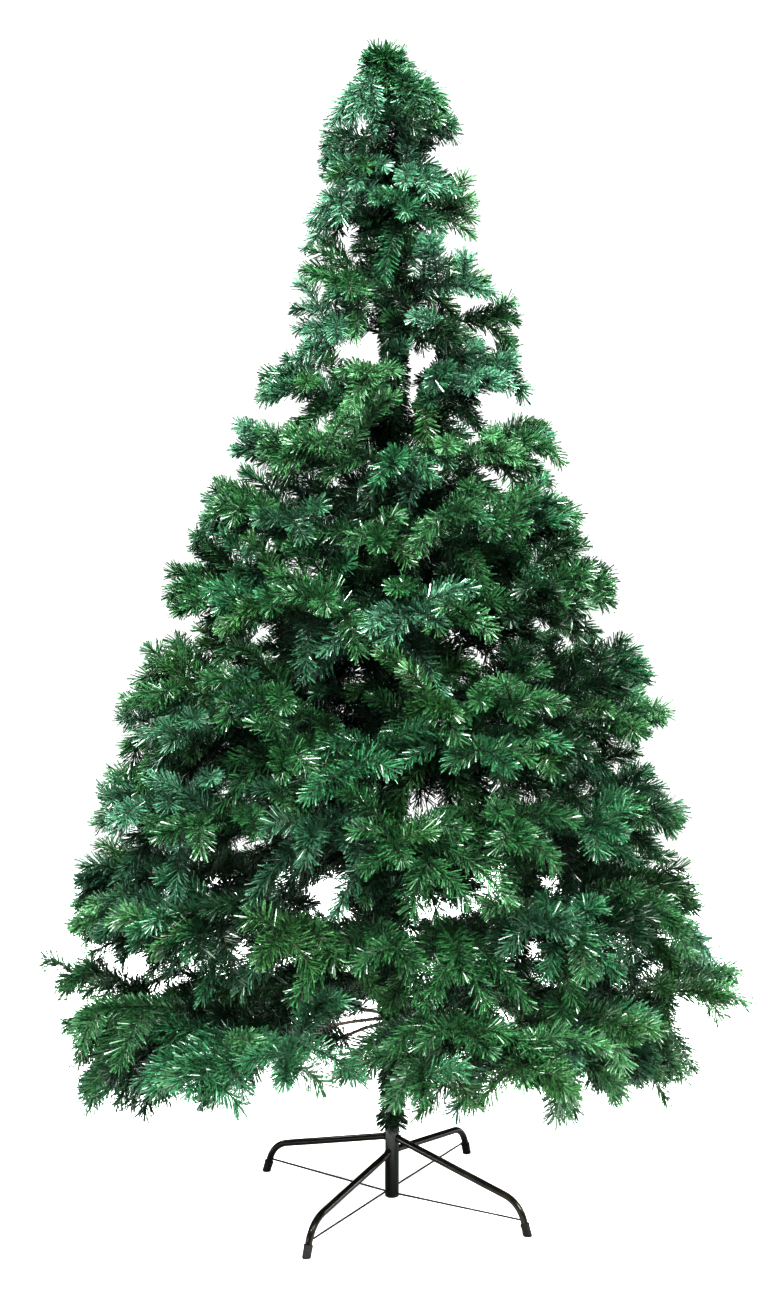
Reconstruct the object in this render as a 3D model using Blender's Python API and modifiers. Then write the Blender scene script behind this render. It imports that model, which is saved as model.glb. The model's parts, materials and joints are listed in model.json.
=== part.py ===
"""Artificial Christmas tree, 1.80 m tall, on a four-legged metal stand.

Metres, +Z up.  The origin is on the floor under the pole's axis, +X is the tree's right-hand
side and -Y its front.  The stand carries a pole in two lengths.  Painted wire boughs clip to the
pole, and each bough, or the pole itself, carries masses of needle sprays on twisted-wire twigs.
"""
import math
import random

import bmesh
import bpy
from mathutils import Matrix, Vector

# ------------------------------------------------------------------ driving dimensions
CLEAR = 0.0003                     # gap left between pieces that touch
HEIGHT = 1.800

# stand
TUBE_RADIUS = 0.0110
TUBE_BORE = 0.0098
TUBE_BOTTOM = 0.0125
TUBE_TOP = 0.1400
PLUG_BOTTOM = 0.0106
PLUG_INSERT_TOP = 0.0300
LEG_RADIUS = 0.0054
LEG_KNEE = (0.2290, 0.0496)        # distance from the axis and height of the knee's corner
LEG_BEND = 0.0480                  # radius of the bend at the knee
FOOT_REACH = 0.2445                # distance from the axis to the middle of each foot
FIRST_LEG = -31.7                  # azimuth of the front right leg, degrees
LEG_ROOTS = (0.1080, 0.0846)       # height of each crossing pair of legs at the tube
CAP_RADIUS = 0.0068
CAP_LENGTH = 0.0190
CAP_FLOOR = 0.0035
TIE_RADIUS = 0.0012
TIE_END_HEIGHT = 0.0228
TIE_MIDDLE_HEIGHTS = (0.0160, 0.0235)

# pole
POLE_RADIUS = 0.0095
POLE_JOINT = 0.8600                # where the upper length slips over the lower one
POLE_JOINT_LENGTH = 0.0500
UPPER_RADIUS = 0.0080
POLE_TOP = 1.3400
LEADER_RADIUS = 0.0026
LEADER_PATH = ((0.0, 1.310), (0.0, 1.360), (-0.0085, 1.560), (-0.0182, 1.675), (-0.0140, 1.765))
HUB_RADIUS = 0.0155
HUB_THICKNESS = 0.0140
WRAP_BOTTOM = 0.1220
WRAP_TOP = 0.2700
WRAP_REACH = 0.0250

# crown outline: height, reach to the left and reach to the right
CROWN_OUTLINE = (
    (0.160, 0.440, 0.490),
    (0.220, 0.515, 0.510),
    (0.290, 0.480, 0.400),
    (0.365, 0.571, 0.559),
    (0.510, 0.505, 0.485),
    (0.650, 0.472, 0.450),
    (0.820, 0.433, 0.427),
    (0.970, 0.360, 0.352),
    (1.150, 0.285, 0.272),
    (1.290, 0.212, 0.243),
    (1.420, 0.165, 0.182),
    (1.570, 0.140, 0.124),
    (1.700, 0.108, 0.092),
    (1.800, 0.030, 0.030),
)

# tiers: name, number of masses, azimuth of the first, height of the root, bough length,
# spray length, spray radius, spray pitch round the tree
TIERS = (
    ("a", 6, -6.0, 0.297, 0.125, 0.165, 0.045, 0.135),
    ("b", 5, 20.0, 0.406, 0.080, 0.160, 0.044, 0.124),
    ("c", 5, -14.0, 0.545, 0.0, 0.165, 0.044, 0.120),
    ("d", 4, 28.0, 0.700, 0.0, 0.155, 0.043, 0.142),
    ("e", 4, -16.0, 0.855, 0.0, 0.145, 0.043, 0.105),
    ("f", 4, 24.0, 0.985, 0.0, 0.130, 0.041, 0.105),
    ("g", 3, -8.0, 1.110, 0.0, 0.120, 0.039, 0.100),
    ("h", 2, 12.0, 1.225, 0.0, 0.110, 0.037, 0.072),
)
# cone-shaped boundaries between the tiers, from the lowest up: height at the axis, slope and
# how much steeper it is in front
TIER_FLOORS = (
    (0.205, -0.11, 0.36),
    (0.355, 0.15, 0.12),
    (0.495, 0.21, 0.06),
    (0.625, 0.26, 0.0),
    (0.790, 0.34, 0.0),
    (0.920, 0.40, 0.0),
    (1.050, 0.42, 0.0),
    (1.165, 0.44, 0.0),
    (1.285, 0.40, 0.0),
)
# whorls of the top mass: height on the leader, number of sprays, rise of their tips
TOP_WHORLS = (
    (1.365, 5, 0.015),
    (1.420, 4, 0.010),
    (1.520, 5, 0.035),
    (1.575, 4, 0.035),
    (1.640, 4, 0.035),
    (1.755, 4, -0.055),
)
TOP_SPRAY_RADIUS = 0.036
BOUGH_RADIUS = 0.0032
LEVEL_END = 0.0070                 # length of the level piece at each end of a bough
STEM_RADIUS = 0.0030
STEM_BEND = 0.4                    # where a stem reaches the middle of its space
TWIG_RADIUS = 0.0022
SPRAY_CORE = 0.0085
SHELL_STEP = 0.82                  # spacing of the rings of sprays, as a share of spray length
ROW_PITCH = 1.30                   # spacing of the rows one above another, in spray radii
SPRAY_SPACING = 1.10               # least distance between sprays of a mass, in spray radii
TWIG_SPACING = 0.60                # least distance from a spray to another's twig, in spray radii
INNER_LIMIT = 0.040                # no spray starts nearer to the pole's axis than this
LEAST_REACH = 0.97                 # the shortest sprays' share of their ring's reach
TRIES = 9                          # places tried for a spray before it is left out
TOP_SPRAY_LENGTH = 0.110
WELD = 2e-6                        # points of a union nearer than this become one
SEED = 1800

# ------------------------------------------------------------------ scene and helpers
for old in list(bpy.data.objects):
    bpy.data.objects.remove(old, do_unlink=True)

tree = bpy.data.collections.new("christmas_tree")
bpy.context.scene.collection.children.link(tree)
cutters = bpy.data.collections.new("cutters")
bpy.context.scene.collection.children.link(cutters)


def finish(name, colour, roughness, metallic=0.0):
    """A plain Principled material for one piece."""
    made = bpy.data.materials.new(name)
    made.use_nodes = True
    shader = made.node_tree.nodes["Principled BSDF"]
    shader.inputs["Base Color"].default_value = (*colour, 1.0)
    shader.inputs["Roughness"].default_value = roughness
    shader.inputs["Metallic"].default_value = metallic
    return made


def painted_metal(name):
    return finish(name, (0.020, 0.028, 0.018), 0.32, 0.4)


def black_plastic(name):
    return finish(name, (0.012, 0.012, 0.012), 0.55)


def wire(name):
    return finish(name, (0.060, 0.045, 0.028), 0.45, 0.5)


def needles(name):
    return finish(name, (0.020, 0.130, 0.060), 0.50)


def place(name, mesh, material, home=tree):
    """Put a mesh in the scene as a named object with its own material."""
    piece = bpy.data.objects.new(name, mesh)
    mesh.materials.clear()
    mesh.materials.append(material)
    home.objects.link(piece)
    return piece


def smooth(mesh, degrees=40.0):
    mesh.shade_smooth()
    mesh.set_sharp_from_angle(angle=math.radians(degrees))


def evaluated_mesh(piece):
    """The mesh that an object has once its curve and modifiers are worked out."""
    graph = bpy.context.evaluated_depsgraph_get()
    return bpy.data.meshes.new_from_object(piece.evaluated_get(graph))


def weld(mesh, distance=1e-6):
    """Merge the doubled points of a mesh and point its faces outwards."""
    form = bmesh.new()
    form.from_mesh(mesh)
    bmesh.ops.remove_doubles(form, verts=form.verts, dist=distance)
    bmesh.ops.recalc_face_normals(form, faces=form.faces)
    form.to_mesh(mesh)
    form.free()


def turned(name, profile, closed, steps, material, home=tree):
    """A round piece: a profile of (radius, height) points turned about the Z axis."""
    mesh = bpy.data.meshes.new(name)
    form = bmesh.new()
    points = [form.verts.new((radius, 0.0, height)) for radius, height in profile]
    for first, second in zip(points, points[1:]):
        form.edges.new((first, second))
    if closed:
        form.edges.new((points[-1], points[0]))
    form.to_mesh(mesh)
    form.free()
    piece = place(name, mesh, material, home)
    screw = piece.modifiers.new("Turn", "SCREW")
    screw.steps = steps
    screw.render_steps = steps
    screw.use_merge_vertices = True
    screw.merge_threshold = 1e-5
    solid = evaluated_mesh(piece)
    weld(solid)
    smooth(solid)
    bpy.data.objects.remove(piece, do_unlink=True)
    return place(name, solid, material, home)


def rod(name, points, radii, sides, material, home=tree):
    """A round bar along points, with a radius at each, made as a curve and then a mesh."""
    curve = bpy.data.curves.new(name, "CURVE")
    curve.dimensions = "3D"
    curve.bevel_depth = 1.0
    curve.bevel_resolution = (sides - 4) // 2
    curve.use_fill_caps = True
    line = curve.splines.new("POLY")
    line.points.add(len(points) - 1)
    for spot, point, radius in zip(line.points, points, radii):
        spot.co = (*point, 1.0)
        spot.radius = radius
    drawn = bpy.data.objects.new(name + "_line", curve)
    home.objects.link(drawn)
    bpy.context.view_layer.update()
    mesh = evaluated_mesh(drawn)
    mesh.transform(drawn.matrix_world)
    bpy.data.objects.remove(drawn, do_unlink=True)
    weld(mesh)
    smooth(mesh)
    return place(name, mesh, material, home)


def round_cutter(name, radius, low, high, turn=None, steps=24):
    """A cylinder along Z, or along turn's direction, that only cuts other pieces."""
    form = bmesh.new()
    bmesh.ops.create_cone(form, cap_ends=True, segments=steps, radius1=radius, radius2=radius,
                          depth=high - low)
    bmesh.ops.translate(form, verts=form.verts, vec=(0.0, 0.0, 0.5 * (low + high)))
    if turn is not None:
        bmesh.ops.transform(form, verts=form.verts, matrix=turn)
    mesh = bpy.data.meshes.new(name)
    form.to_mesh(mesh)
    form.free()
    return guide(name, mesh)


def guide(name, mesh):
    cutter = bpy.data.objects.new(name, mesh)
    cutter.hide_render = True
    cutter.display_type = "WIRE"
    cutters.objects.link(cutter)
    return cutter


def cut(piece, cutter, operation="DIFFERENCE"):
    """A Boolean of one piece with another, kept as a live modifier."""
    change = piece.modifiers.new(cutter.name, "BOOLEAN")
    change.operation = operation
    change.solver = "EXACT"
    change.object = cutter


def compass(azimuth, distance, height):
    """A point by its azimuth in radians, its distance from the axis and its height."""
    return Vector((distance * math.cos(azimuth), distance * math.sin(azimuth), height))


# ------------------------------------------------------------------ stand
def bent_line(start, corner, end, bend, steps):
    """Points of a line from start to end, turned round a corner on an arc."""
    start, corner, end = Vector(start), Vector(corner), Vector(end)
    inward = (start - corner).normalized()
    outward = (end - corner).normalized()
    half = 0.5 * inward.angle(outward)
    centre = corner + (inward + outward).normalized() * bend / math.sin(half)
    first = corner + inward * bend / math.tan(half) - centre
    last = corner + outward * bend / math.tan(half) - centre
    sweep = first.angle(last)
    line = [start]
    for step in range(steps + 1):
        share = step / steps
        line.append(centre + first * math.sin((1.0 - share) * sweep) / math.sin(sweep)
                    + last * math.sin(share * sweep) / math.sin(sweep))
    line.append(end)
    return line


def build_stand():
    """Tube with its plug, four bent legs with rubber caps, and two tie rods through the tube."""
    tube = turned("stand_tube", ((TUBE_BORE, TUBE_BOTTOM), (TUBE_BORE, TUBE_TOP),
                                 (TUBE_RADIUS, TUBE_TOP), (TUBE_RADIUS, TUBE_BOTTOM)),
                  True, 16, painted_metal("stand_tube_paint"))
    insert = TUBE_BORE - CLEAR
    plug = turned("tube_plug", ((0.0, PLUG_INSERT_TOP), (insert, PLUG_INSERT_TOP),
                                (insert, TUBE_BOTTOM - CLEAR), (TUBE_RADIUS, TUBE_BOTTOM - CLEAR),
                                (TUBE_RADIUS - 0.0008, PLUG_BOTTOM), (0.0, PLUG_BOTTOM)),
                  False, 12, black_plastic("tube_plug_plastic"))

    down_leg = (Vector((FOOT_REACH, 0.0)) - Vector(LEG_KNEE)).normalized()
    rod_end = Vector((FOOT_REACH, 0.0)) - down_leg * (CAP_FLOOR + CLEAR)
    tie_end = LEG_KNEE[0] + down_leg.x * (LEG_KNEE[1] - TIE_END_HEIGHT - TIE_RADIUS) / -down_leg.y
    tie_end -= LEG_RADIUS / -down_leg.y + 2.0 * CLEAR

    floor = bmesh.new()
    bmesh.ops.create_cube(floor, size=1.0)
    bmesh.ops.translate(floor, verts=floor.verts, vec=(0.0, 0.0, -0.5))
    floor_mesh = bpy.data.meshes.new("floor_cutter")
    floor.to_mesh(floor_mesh)
    floor.free()
    floor_cutter = guide("floor_cutter", floor_mesh)
    tube_cutter = round_cutter("tube_cutter", TUBE_RADIUS + CLEAR, 0.05, 0.14, steps=24)

    for number, side in enumerate(("front_right", "back_right", "back_left", "front_left")):
        azimuth = math.radians(FIRST_LEG + 90.0 * number)
        outline = bent_line((0.0085, LEG_ROOTS[number % 2]), LEG_KNEE, rod_end, LEG_BEND, 6)
        leg = rod("leg_" + side, [compass(azimuth, spot.x, spot.y) for spot in outline],
                  [LEG_RADIUS] * len(outline), 8, painted_metal("leg_" + side + "_paint"))
        cut(leg, tube_cutter)

        bore = LEG_RADIUS + CLEAR
        cap = turned("foot_cap_" + side,
                     ((0.0, CAP_FLOOR), (bore, CAP_FLOOR), (bore, CAP_LENGTH),
                      (CAP_RADIUS - 0.0004, CAP_LENGTH), (CAP_RADIUS, CAP_LENGTH - 0.0008),
                      (CAP_RADIUS, -0.0030), (0.0, -0.0030)),
                     False, 12, black_plastic("foot_cap_" + side + "_rubber"))
        lean = math.atan2(down_leg.x, -down_leg.y)
        cap.data.transform(Matrix.Rotation(azimuth, 4, "Z")
                           @ Matrix.Translation((FOOT_REACH, 0.0, 0.0))
                           @ Matrix.Rotation(-lean, 4, "Y"))
        cut(cap, floor_cutter)

    for number, side in enumerate(("front_right_to_back_left", "back_right_to_front_left")):
        azimuth = math.radians(FIRST_LEG + 90.0 * number)
        middle = TIE_MIDDLE_HEIGHTS[number]
        rod("tie_rod_" + side,
            (compass(azimuth, tie_end, TIE_END_HEIGHT), compass(azimuth, TUBE_RADIUS + 0.002, middle),
             compass(azimuth, -TUBE_RADIUS - 0.002, middle),
             compass(azimuth, -tie_end, TIE_END_HEIGHT)),
            [TIE_RADIUS] * 4, 8, painted_metal("tie_rod_" + side + "_paint"))
        turn = (Matrix.Rotation(azimuth, 4, "Z") @ Matrix.Translation((0.0, 0.0, middle))
                @ Matrix.Rotation(math.pi / 2.0, 4, "Y"))
        hole = round_cutter("tie_hole_" + side, TIE_RADIUS + CLEAR, -0.013, 0.013, turn, steps=10)
        cut(tube, hole)
        cut(plug, hole)


# ------------------------------------------------------------------ pole and boughs
def hub_profile(height):
    """The collar that the boughs of a tier clip to, as profile points from its top down."""
    half = 0.5 * HUB_THICKNESS
    return [(POLE_RADIUS, height + half + 0.003), (HUB_RADIUS, height + half),
            (HUB_RADIUS, height - half), (POLE_RADIUS, height - half - 0.003)]


def build_pole():
    """Lower length from the stand's tube to the joint, upper length with its bent wire leader."""
    neck = POLE_RADIUS - 0.0016
    profile = [(0.0, POLE_JOINT + POLE_JOINT_LENGTH), (neck, POLE_JOINT + POLE_JOINT_LENGTH),
               (neck, POLE_JOINT + 0.002), (POLE_RADIUS, POLE_JOINT)]
    for tier in reversed(TIERS[:2]):
        profile += hub_profile(tier[3])
    profile += [(POLE_RADIUS, PLUG_INSERT_TOP + CLEAR), (0.0, PLUG_INSERT_TOP + CLEAR)]
    turned("pole_lower", profile, False, 12, painted_metal("pole_lower_paint"))

    bore = neck + CLEAR
    foot = POLE_JOINT + CLEAR
    profile = [(0.0, POLE_TOP), (0.6 * UPPER_RADIUS, POLE_TOP), (UPPER_RADIUS, POLE_TOP - 0.004),
               (UPPER_RADIUS, foot + 0.085), (POLE_RADIUS, foot + 0.075), (POLE_RADIUS, foot + 0.0022),
               (bore, foot + 0.0022), (bore, foot + POLE_JOINT_LENGTH + 0.001),
               (0.0, foot + POLE_JOINT_LENGTH + 0.001)]
    upper = turned("pole_upper", profile, False, 12, painted_metal("pole_upper_paint"))
    path = [Vector((lean, 0.0, height)) for lean, height in LEADER_PATH[:2]]
    leader = rod("leader_wire", path, [LEADER_RADIUS] * 2, 8, wire("leader_wire_metal"), cutters)
    leader.hide_render = True
    leader.display_type = "WIRE"
    cut(upper, leader, "UNION")


def build_bough(level, number):
    """One tapering wire limb, from the hub to the stem of its mass."""
    tier, _, _, root, length, *_ = TIERS[level]
    azimuth = mass_azimuth(TIERS[level], number)
    start = HUB_RADIUS + CLEAR
    end = middle_height(level, length, azimuth)
    points = [compass(azimuth, start, root), compass(azimuth, start + LEVEL_END, root),
              compass(azimuth, length - LEVEL_END, end), compass(azimuth, length, end)]
    radii = [BOUGH_RADIUS * (1.0 - 0.1 * step) for step in range(4)]
    label = "bough_%s%d" % (tier, number + 1)
    rod(label, points, radii, 6, wire(label + "_metal"))


# ------------------------------------------------------------------ crown: spaces and growth
def crown_reach(height, azimuth):
    """Distance from the axis to the crown's edge at a height, in a direction."""
    height = min(max(height, CROWN_OUTLINE[0][0]), CROWN_OUTLINE[-1][0])
    for low, high in zip(CROWN_OUTLINE, CROWN_OUTLINE[1:]):
        if height <= high[0]:
            break
    share = (height - low[0]) / (high[0] - low[0])
    left = low[1] + share * (high[1] - low[1])
    right = low[2] + share * (high[2] - low[2])
    return left + (0.5 + 0.5 * math.cos(azimuth)) * (right - left)


def mass_azimuth(tier, number):
    return math.radians(tier[2] + 360.0 * number / tier[1])


def floor_slope(level, azimuth):
    """Slope of a boundary in a direction.  The lowest ones rise more steeply towards the front."""
    _, slope, front = TIER_FLOORS[level]
    return slope + front * max(0.0, -math.sin(azimuth))


def floor_height(level, distance, azimuth):
    return TIER_FLOORS[level][0] + floor_slope(level, azimuth) * distance


def middle_height(level, distance, azimuth):
    return 0.5 * (floor_height(level, distance, azimuth) + floor_height(level + 1, distance, azimuth))


def in_space(point, level, azimuth, half_angle, room):
    """Whether a ball round a point keeps to its mass's own wedge between two tier floors."""
    distance = math.hypot(point.x, point.y)
    turn = math.atan2(point.y, point.x)
    aside = math.remainder(turn - azimuth, math.tau)
    if abs(aside) >= half_angle or distance * math.sin(min(half_angle - abs(aside), 1.5)) < room:
        return False
    for floor, way in ((level, 1.0), (level + 1, -1.0)):
        slope = floor_slope(floor, turn)
        if way * (point.z - floor_height(floor, distance, turn)) < room * math.hypot(1.0, slope):
            return False
    return True


def nearest(first, second):
    """Least distance between two runs of points."""
    return min((spot - point).length for spot in first for point in second)


def apart(spray, others):
    """Whether a spray keeps off the brushes and the twigs of the sprays before it."""
    fork, base, tip, radius, _ = spray
    brush = [base.lerp(tip, at / 4.0) for at in range(5)]
    twig = [fork.lerp(base, at / 6.0) for at in range(2, 7)]
    for other_fork, other_base, other_tip, *_ in others:
        other_brush = [other_base.lerp(other_tip, at / 4.0) for at in range(5)]
        other_twig = [other_fork.lerp(other_base, at / 6.0) for at in range(2, 7)]
        if nearest(brush, other_brush) < SPRAY_SPACING * radius:
            return False
        if min(nearest(brush, other_twig), nearest(twig, other_brush)) < TWIG_SPACING * radius:
            return False
    return True


def plan_mass(level, number):
    """Stem and sprays of one mass, grown inwards from the crown's edge by a seeded rule.

    A spray is the point where its twig leaves the stem, its base, its tip, radius and turn.
    """
    _, count, _, root, bough, length, radius, pitch = TIERS[level]
    azimuth = mass_azimuth(TIERS[level], number)
    half_angle = math.pi / count
    dice = random.Random(SEED + 100 * level + number)
    if bough:
        start = compass(azimuth, bough + CLEAR, middle_height(level, bough, azimuth))
    else:
        pole = POLE_RADIUS if root < POLE_JOINT + 0.08 else UPPER_RADIUS
        start = compass(azimuth, pole + CLEAR, root)
    begin = start.xy.length
    middle = middle_height(level, 0.4, azimuth)
    edge = max(crown_reach(middle + step, azimuth) for step in (-0.07, 0.0, 0.07))
    slope = 0.5 * (floor_slope(level, azimuth) + floor_slope(level + 1, azimuth))
    stem_end = edge - 1.15 * length
    bend = begin + STEM_BEND * (stem_end - begin)
    stem = [start, compass(azimuth, begin + LEVEL_END, start.z),
            compass(azimuth, bend, middle_height(level, bend, azimuth)),
            compass(azimuth, stem_end, middle_height(level, stem_end, azimuth))]
    sprays = []
    shell = 0
    reach = edge
    while reach - length > INNER_LIMIT:
        inside = reach - 0.5 * length
        thick = floor_height(level + 1, inside, azimuth) - floor_height(level, inside, azimuth)
        spread = thick / math.hypot(1.0, slope) - 2.0 * (radius + 0.002)
        rows = 1 + max(0, int(spread / (ROW_PITCH * radius)))
        for row in range(rows):
            fan = max(1, round(2.0 * half_angle * (reach - 0.4 * length) / pitch) - (row + shell) % 2)
            for step in range(fan):
                aside = half_angle * (2.0 * step + 1.0 - fan + dice.uniform(-0.15, 0.15)) / fan
                rise = spread * (row / (rows - 1.0) - 0.5) if rows > 1 else 0.0
                wander = dice.uniform(-0.10, 0.10)
                shrink = dice.uniform(LEAST_REACH, 1.0) if fan > 1 else 1.0
                back = dice.uniform(0.0, 0.25)
                spin = dice.uniform(0.0, math.tau)
                for attempt in range(TRIES):
                    height = middle_height(level, reach, azimuth + aside) + rise
                    rim = crown_reach(height, azimuth + aside)
                    distance = min(reach * shrink * rim / edge, rim - 0.002)
                    tip = compass(azimuth + aside, distance, height)
                    aslant = abs(distance * math.sin(aside)) + 0.5 * abs(rise)
                    leave = distance * math.cos(aside) - (0.95 + back) * length - 0.55 * aslant
                    leave = min(max(leave, begin + 0.010 + 0.006 * len(sprays)), stem_end - 0.006)
                    fork = on_stem(stem, leave)
                    outward = compass(azimuth + aside, 1.0, slope + rise + wander).normalized()
                    line = (tip - fork).normalized().lerp(outward, 0.45).normalized()
                    base = tip - line * length
                    spray = (fork, base, tip, radius, spin)
                    if spray_fits(spray, level, azimuth, half_angle) and apart(spray, sprays):
                        sprays.append(spray)
                        break
                    aside = 0.94 * aside + dice.uniform(-0.05, 0.05)
                    rise = 0.90 * rise + dice.uniform(-0.3, 0.3) * radius
        shell += 1
        reach -= SHELL_STEP * length
    return stem, sprays


def on_stem(stem, distance):
    """The point of a stem at a distance from the pole's axis."""
    for near, far in zip(stem, stem[1:]):
        if distance <= far.xy.length:
            break
    return near.lerp(far, (distance - near.xy.length) / (far.xy.length - near.xy.length))


def spray_fits(spray, level, azimuth, half_angle):
    """Whether a spray's twig runs outwards, and it keeps to its mass's space and off the pole."""
    fork, base, tip, radius, _ = spray
    if (base - fork).dot(tip - base) < 0.5 * (base - fork).length * (tip - base).length:
        return False
    room = radius + 0.001
    for at in (0.2, 0.6, 1.0):
        spot = base.lerp(tip, at)
        if not in_space(spot, level, azimuth, half_angle, room) or spot.xy.length < room + 0.010:
            return False
    return in_space(base, level, azimuth, half_angle, SPRAY_CORE)


def plan_top():
    """The leader's top: whorls of short sprays, the last one hanging over like an umbrella."""
    level = len(TIERS)
    dice = random.Random(SEED + 100 * level)
    stem = [Vector((lean, 0.0, height)) for lean, height in LEADER_PATH[1:]]
    stem[0].z += CLEAR
    apex = Vector((stem[-1].x, 0.0, HEIGHT))
    sprays = [(stem[-2], stem[-2].lerp(stem[-1], 0.5), apex, 0.7 * TOP_SPRAY_RADIUS, 0.0)]
    for whorl, (root, fan, rise) in enumerate(TOP_WHORLS):
        fork = stem[0]
        for low, high in zip(stem, stem[1:]):
            if low.z <= root <= high.z:
                fork = low.lerp(high, (root - low.z) / (high.z - low.z))
        for step in range(fan):
            turn = math.tau * (step + 0.5 * (whorl % 2) + dice.uniform(-0.08, 0.08)) / fan
            spin = dice.uniform(0.0, math.tau)
            rim = crown_reach(root + rise, turn) * dice.uniform(0.92, 1.0)
            tip = compass(turn, rim, root + rise)
            length = min(TOP_SPRAY_LENGTH, 0.85 * (tip - fork).length)
            base = tip + (fork - tip).normalized() * length
            sprays.append((fork, base, tip, TOP_SPRAY_RADIUS, spin))
    return stem, sprays


# ------------------------------------------------------------------ crown: solids
def spray_form(fork, base, tip, radius, spin):
    """A three-sided twig and its spray: a slim core with needles that lean forward, as a bmesh."""
    line = (tip - base).normalized()
    rings = [(fork, (base - fork).normalized(), TWIG_RADIUS, 0.0),
             (base, line, 0.8 * TWIG_RADIUS, 0.0),
             (base.lerp(tip, 0.45), line, SPRAY_CORE, math.pi / 3.0),
             (base.lerp(tip, 0.84), line, 0.8 * SPRAY_CORE, 0.0)]
    upright = line.to_track_quat("Z", "Y")
    form = bmesh.new()
    bmesh.ops.create_circle(form, cap_ends=True, segments=3, radius=1.0)
    front = form.faces[:]
    band = []
    for number, (centre, way, size, twist) in enumerate(rings):
        if number:
            before = set(form.faces)
            grown = bmesh.ops.extrude_face_region(form, geom=front)
            inner = front if number > 1 else []
            front = [item for item in grown["geom"] if isinstance(item, bmesh.types.BMFace)]
            if number > 1:
                band += [face for face in form.faces if face not in before and face not in front]
            bmesh.ops.delete(form, geom=inner, context="FACES_ONLY")
        turn = line.rotation_difference(way) @ upright
        for step, point in enumerate(front[0].verts):
            angle = spin + twist + math.tau * step / 3.0
            point.co = centre + turn @ Vector((size * math.cos(angle), size * math.sin(angle), 0.0))
    end = bmesh.ops.extrude_face_region(form, geom=front)
    points = [item for item in end["geom"] if isinstance(item, bmesh.types.BMVert)]
    bmesh.ops.delete(form, geom=front, context="FACES_ONLY")
    bmesh.ops.pointmerge(form, verts=points, merge_co=tip)
    bmesh.ops.recalc_face_normals(form, faces=form.faces)
    halves = bmesh.ops.triangulate(form, faces=band)["faces"]
    length = (tip - base).length
    wide = [face for face in halves if (face.calc_center_median() - base).dot(line) > 0.2 * length]
    for needle in bmesh.ops.poke(form, faces=wide)["verts"]:
        along = (needle.co - base).dot(line) / length
        centre = base.lerp(tip, along)
        outward = (needle.co - centre).normalized()
        across = radius * (0.75 + 0.25 * math.sin(math.pi * min(1.0, along + 0.2)))
        needle.co = centre + outward * across + line * (0.16 * length)
    return form


def outer_skin(mesh):
    """Keep a fused mesh's one outer skin, without scraps and hollows; say if it is closed."""
    form = bmesh.new()
    form.from_mesh(mesh)
    bmesh.ops.remove_doubles(form, verts=form.verts, dist=WELD)
    bmesh.ops.dissolve_degenerate(form, edges=form.edges, dist=WELD)
    bmesh.ops.triangulate(form, faces=form.faces)
    left = set(form.faces)
    shells = []
    while left:
        grown = [left.pop()]
        for face in grown:
            for edge in face.edges:
                for other in edge.link_faces:
                    if other in left:
                        left.remove(other)
                        grown.append(other)
        shells.append(grown)
    shells.sort(key=len, reverse=True)
    spare = [face for shell in shells[1:] for face in shell]
    bmesh.ops.delete(form, geom=spare, context="FACES")
    closed = all(edge.is_manifold for edge in form.edges)
    form.to_mesh(mesh)
    form.free()
    return closed


def joined(name, stem, sprays, solver):
    """A mass's stem and sprays as one mesh, by one union on a collection."""
    holder = bpy.data.collections.new(name + "_pieces")
    bpy.context.scene.collection.children.link(holder)
    for number, spray in enumerate(sprays):
        form = spray_form(*spray)
        mesh = bpy.data.meshes.new("%s_spray_%d" % (name, number))
        form.to_mesh(mesh)
        form.free()
        holder.objects.link(bpy.data.objects.new(mesh.name, mesh))
    radii = [STEM_RADIUS * (1.0 - 0.12 * step) for step in range(len(stem))]
    limb = rod(name + "_stem", stem, radii, 4, needles(name + "_green"))
    union = limb.modifiers.new("Fuse", "BOOLEAN")
    union.operation = "UNION"
    union.solver = solver
    union.operand_type = "COLLECTION"
    union.collection = holder
    solid = evaluated_mesh(limb)
    for piece in [limb] + list(holder.objects):
        bpy.data.objects.remove(piece, do_unlink=True)
    bpy.data.collections.remove(holder)
    return solid


def fuse(name, stem, sprays):
    """A mass as one solid.  A union that doesn't close is tried again with fewer sprays."""
    while True:
        for solver in ("EXACT", "MANIFOLD"):
            solid = joined(name, stem, sprays, solver)
            if outer_skin(solid):
                return place(name, solid, needles(name + "_needles"))
        sprays = sprays[:-1]


def build_wrap():
    """The short garland of needles wound round the pole's foot, over the stand's tube."""
    form = bmesh.new()
    bmesh.ops.create_uvsphere(form, u_segments=8, v_segments=8, radius=1.0)
    for point in form.verts:
        along = math.acos(max(-1.0, min(1.0, -point.co.z))) / math.pi
        wide = math.hypot(point.co.x, point.co.y)
        turn = math.atan2(point.co.y, point.co.x)
        spike = (math.floor(turn / (math.pi / 4.0) + 8.25) + round(8.0 * along)) % 2
        reach = 0.0 if wide < 0.1 else (WRAP_REACH if spike else HUB_RADIUS)
        height = WRAP_BOTTOM + (WRAP_TOP - WRAP_BOTTOM) * along
        point.co = Vector((reach * math.cos(turn), reach * math.sin(turn), height))
    bmesh.ops.triangulate(form, faces=form.faces)
    mesh = bpy.data.meshes.new("pole_garland")
    form.to_mesh(mesh)
    form.free()
    wrap = place("pole_garland", mesh, needles("pole_garland_needles"))
    cut(wrap, round_cutter("garland_bore", TUBE_RADIUS + CLEAR, 0.0, 0.4, steps=16))


build_stand()
build_pole()
build_wrap()
for level, tier in enumerate(TIERS):
    for number in range(tier[1]):
        if tier[4]:
            build_bough(level, number)
        fuse("needles_%s%d" % (tier[0], number + 1), *plan_mass(level, number))
fuse("needles_top", *plan_top())
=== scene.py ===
"""Finishes and fine shapes of the artificial Christmas tree, laid over its solid frame."""
import json
import math
import random

import bmesh
import bpy
import numpy as np
from mathutils import Matrix, Vector

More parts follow.
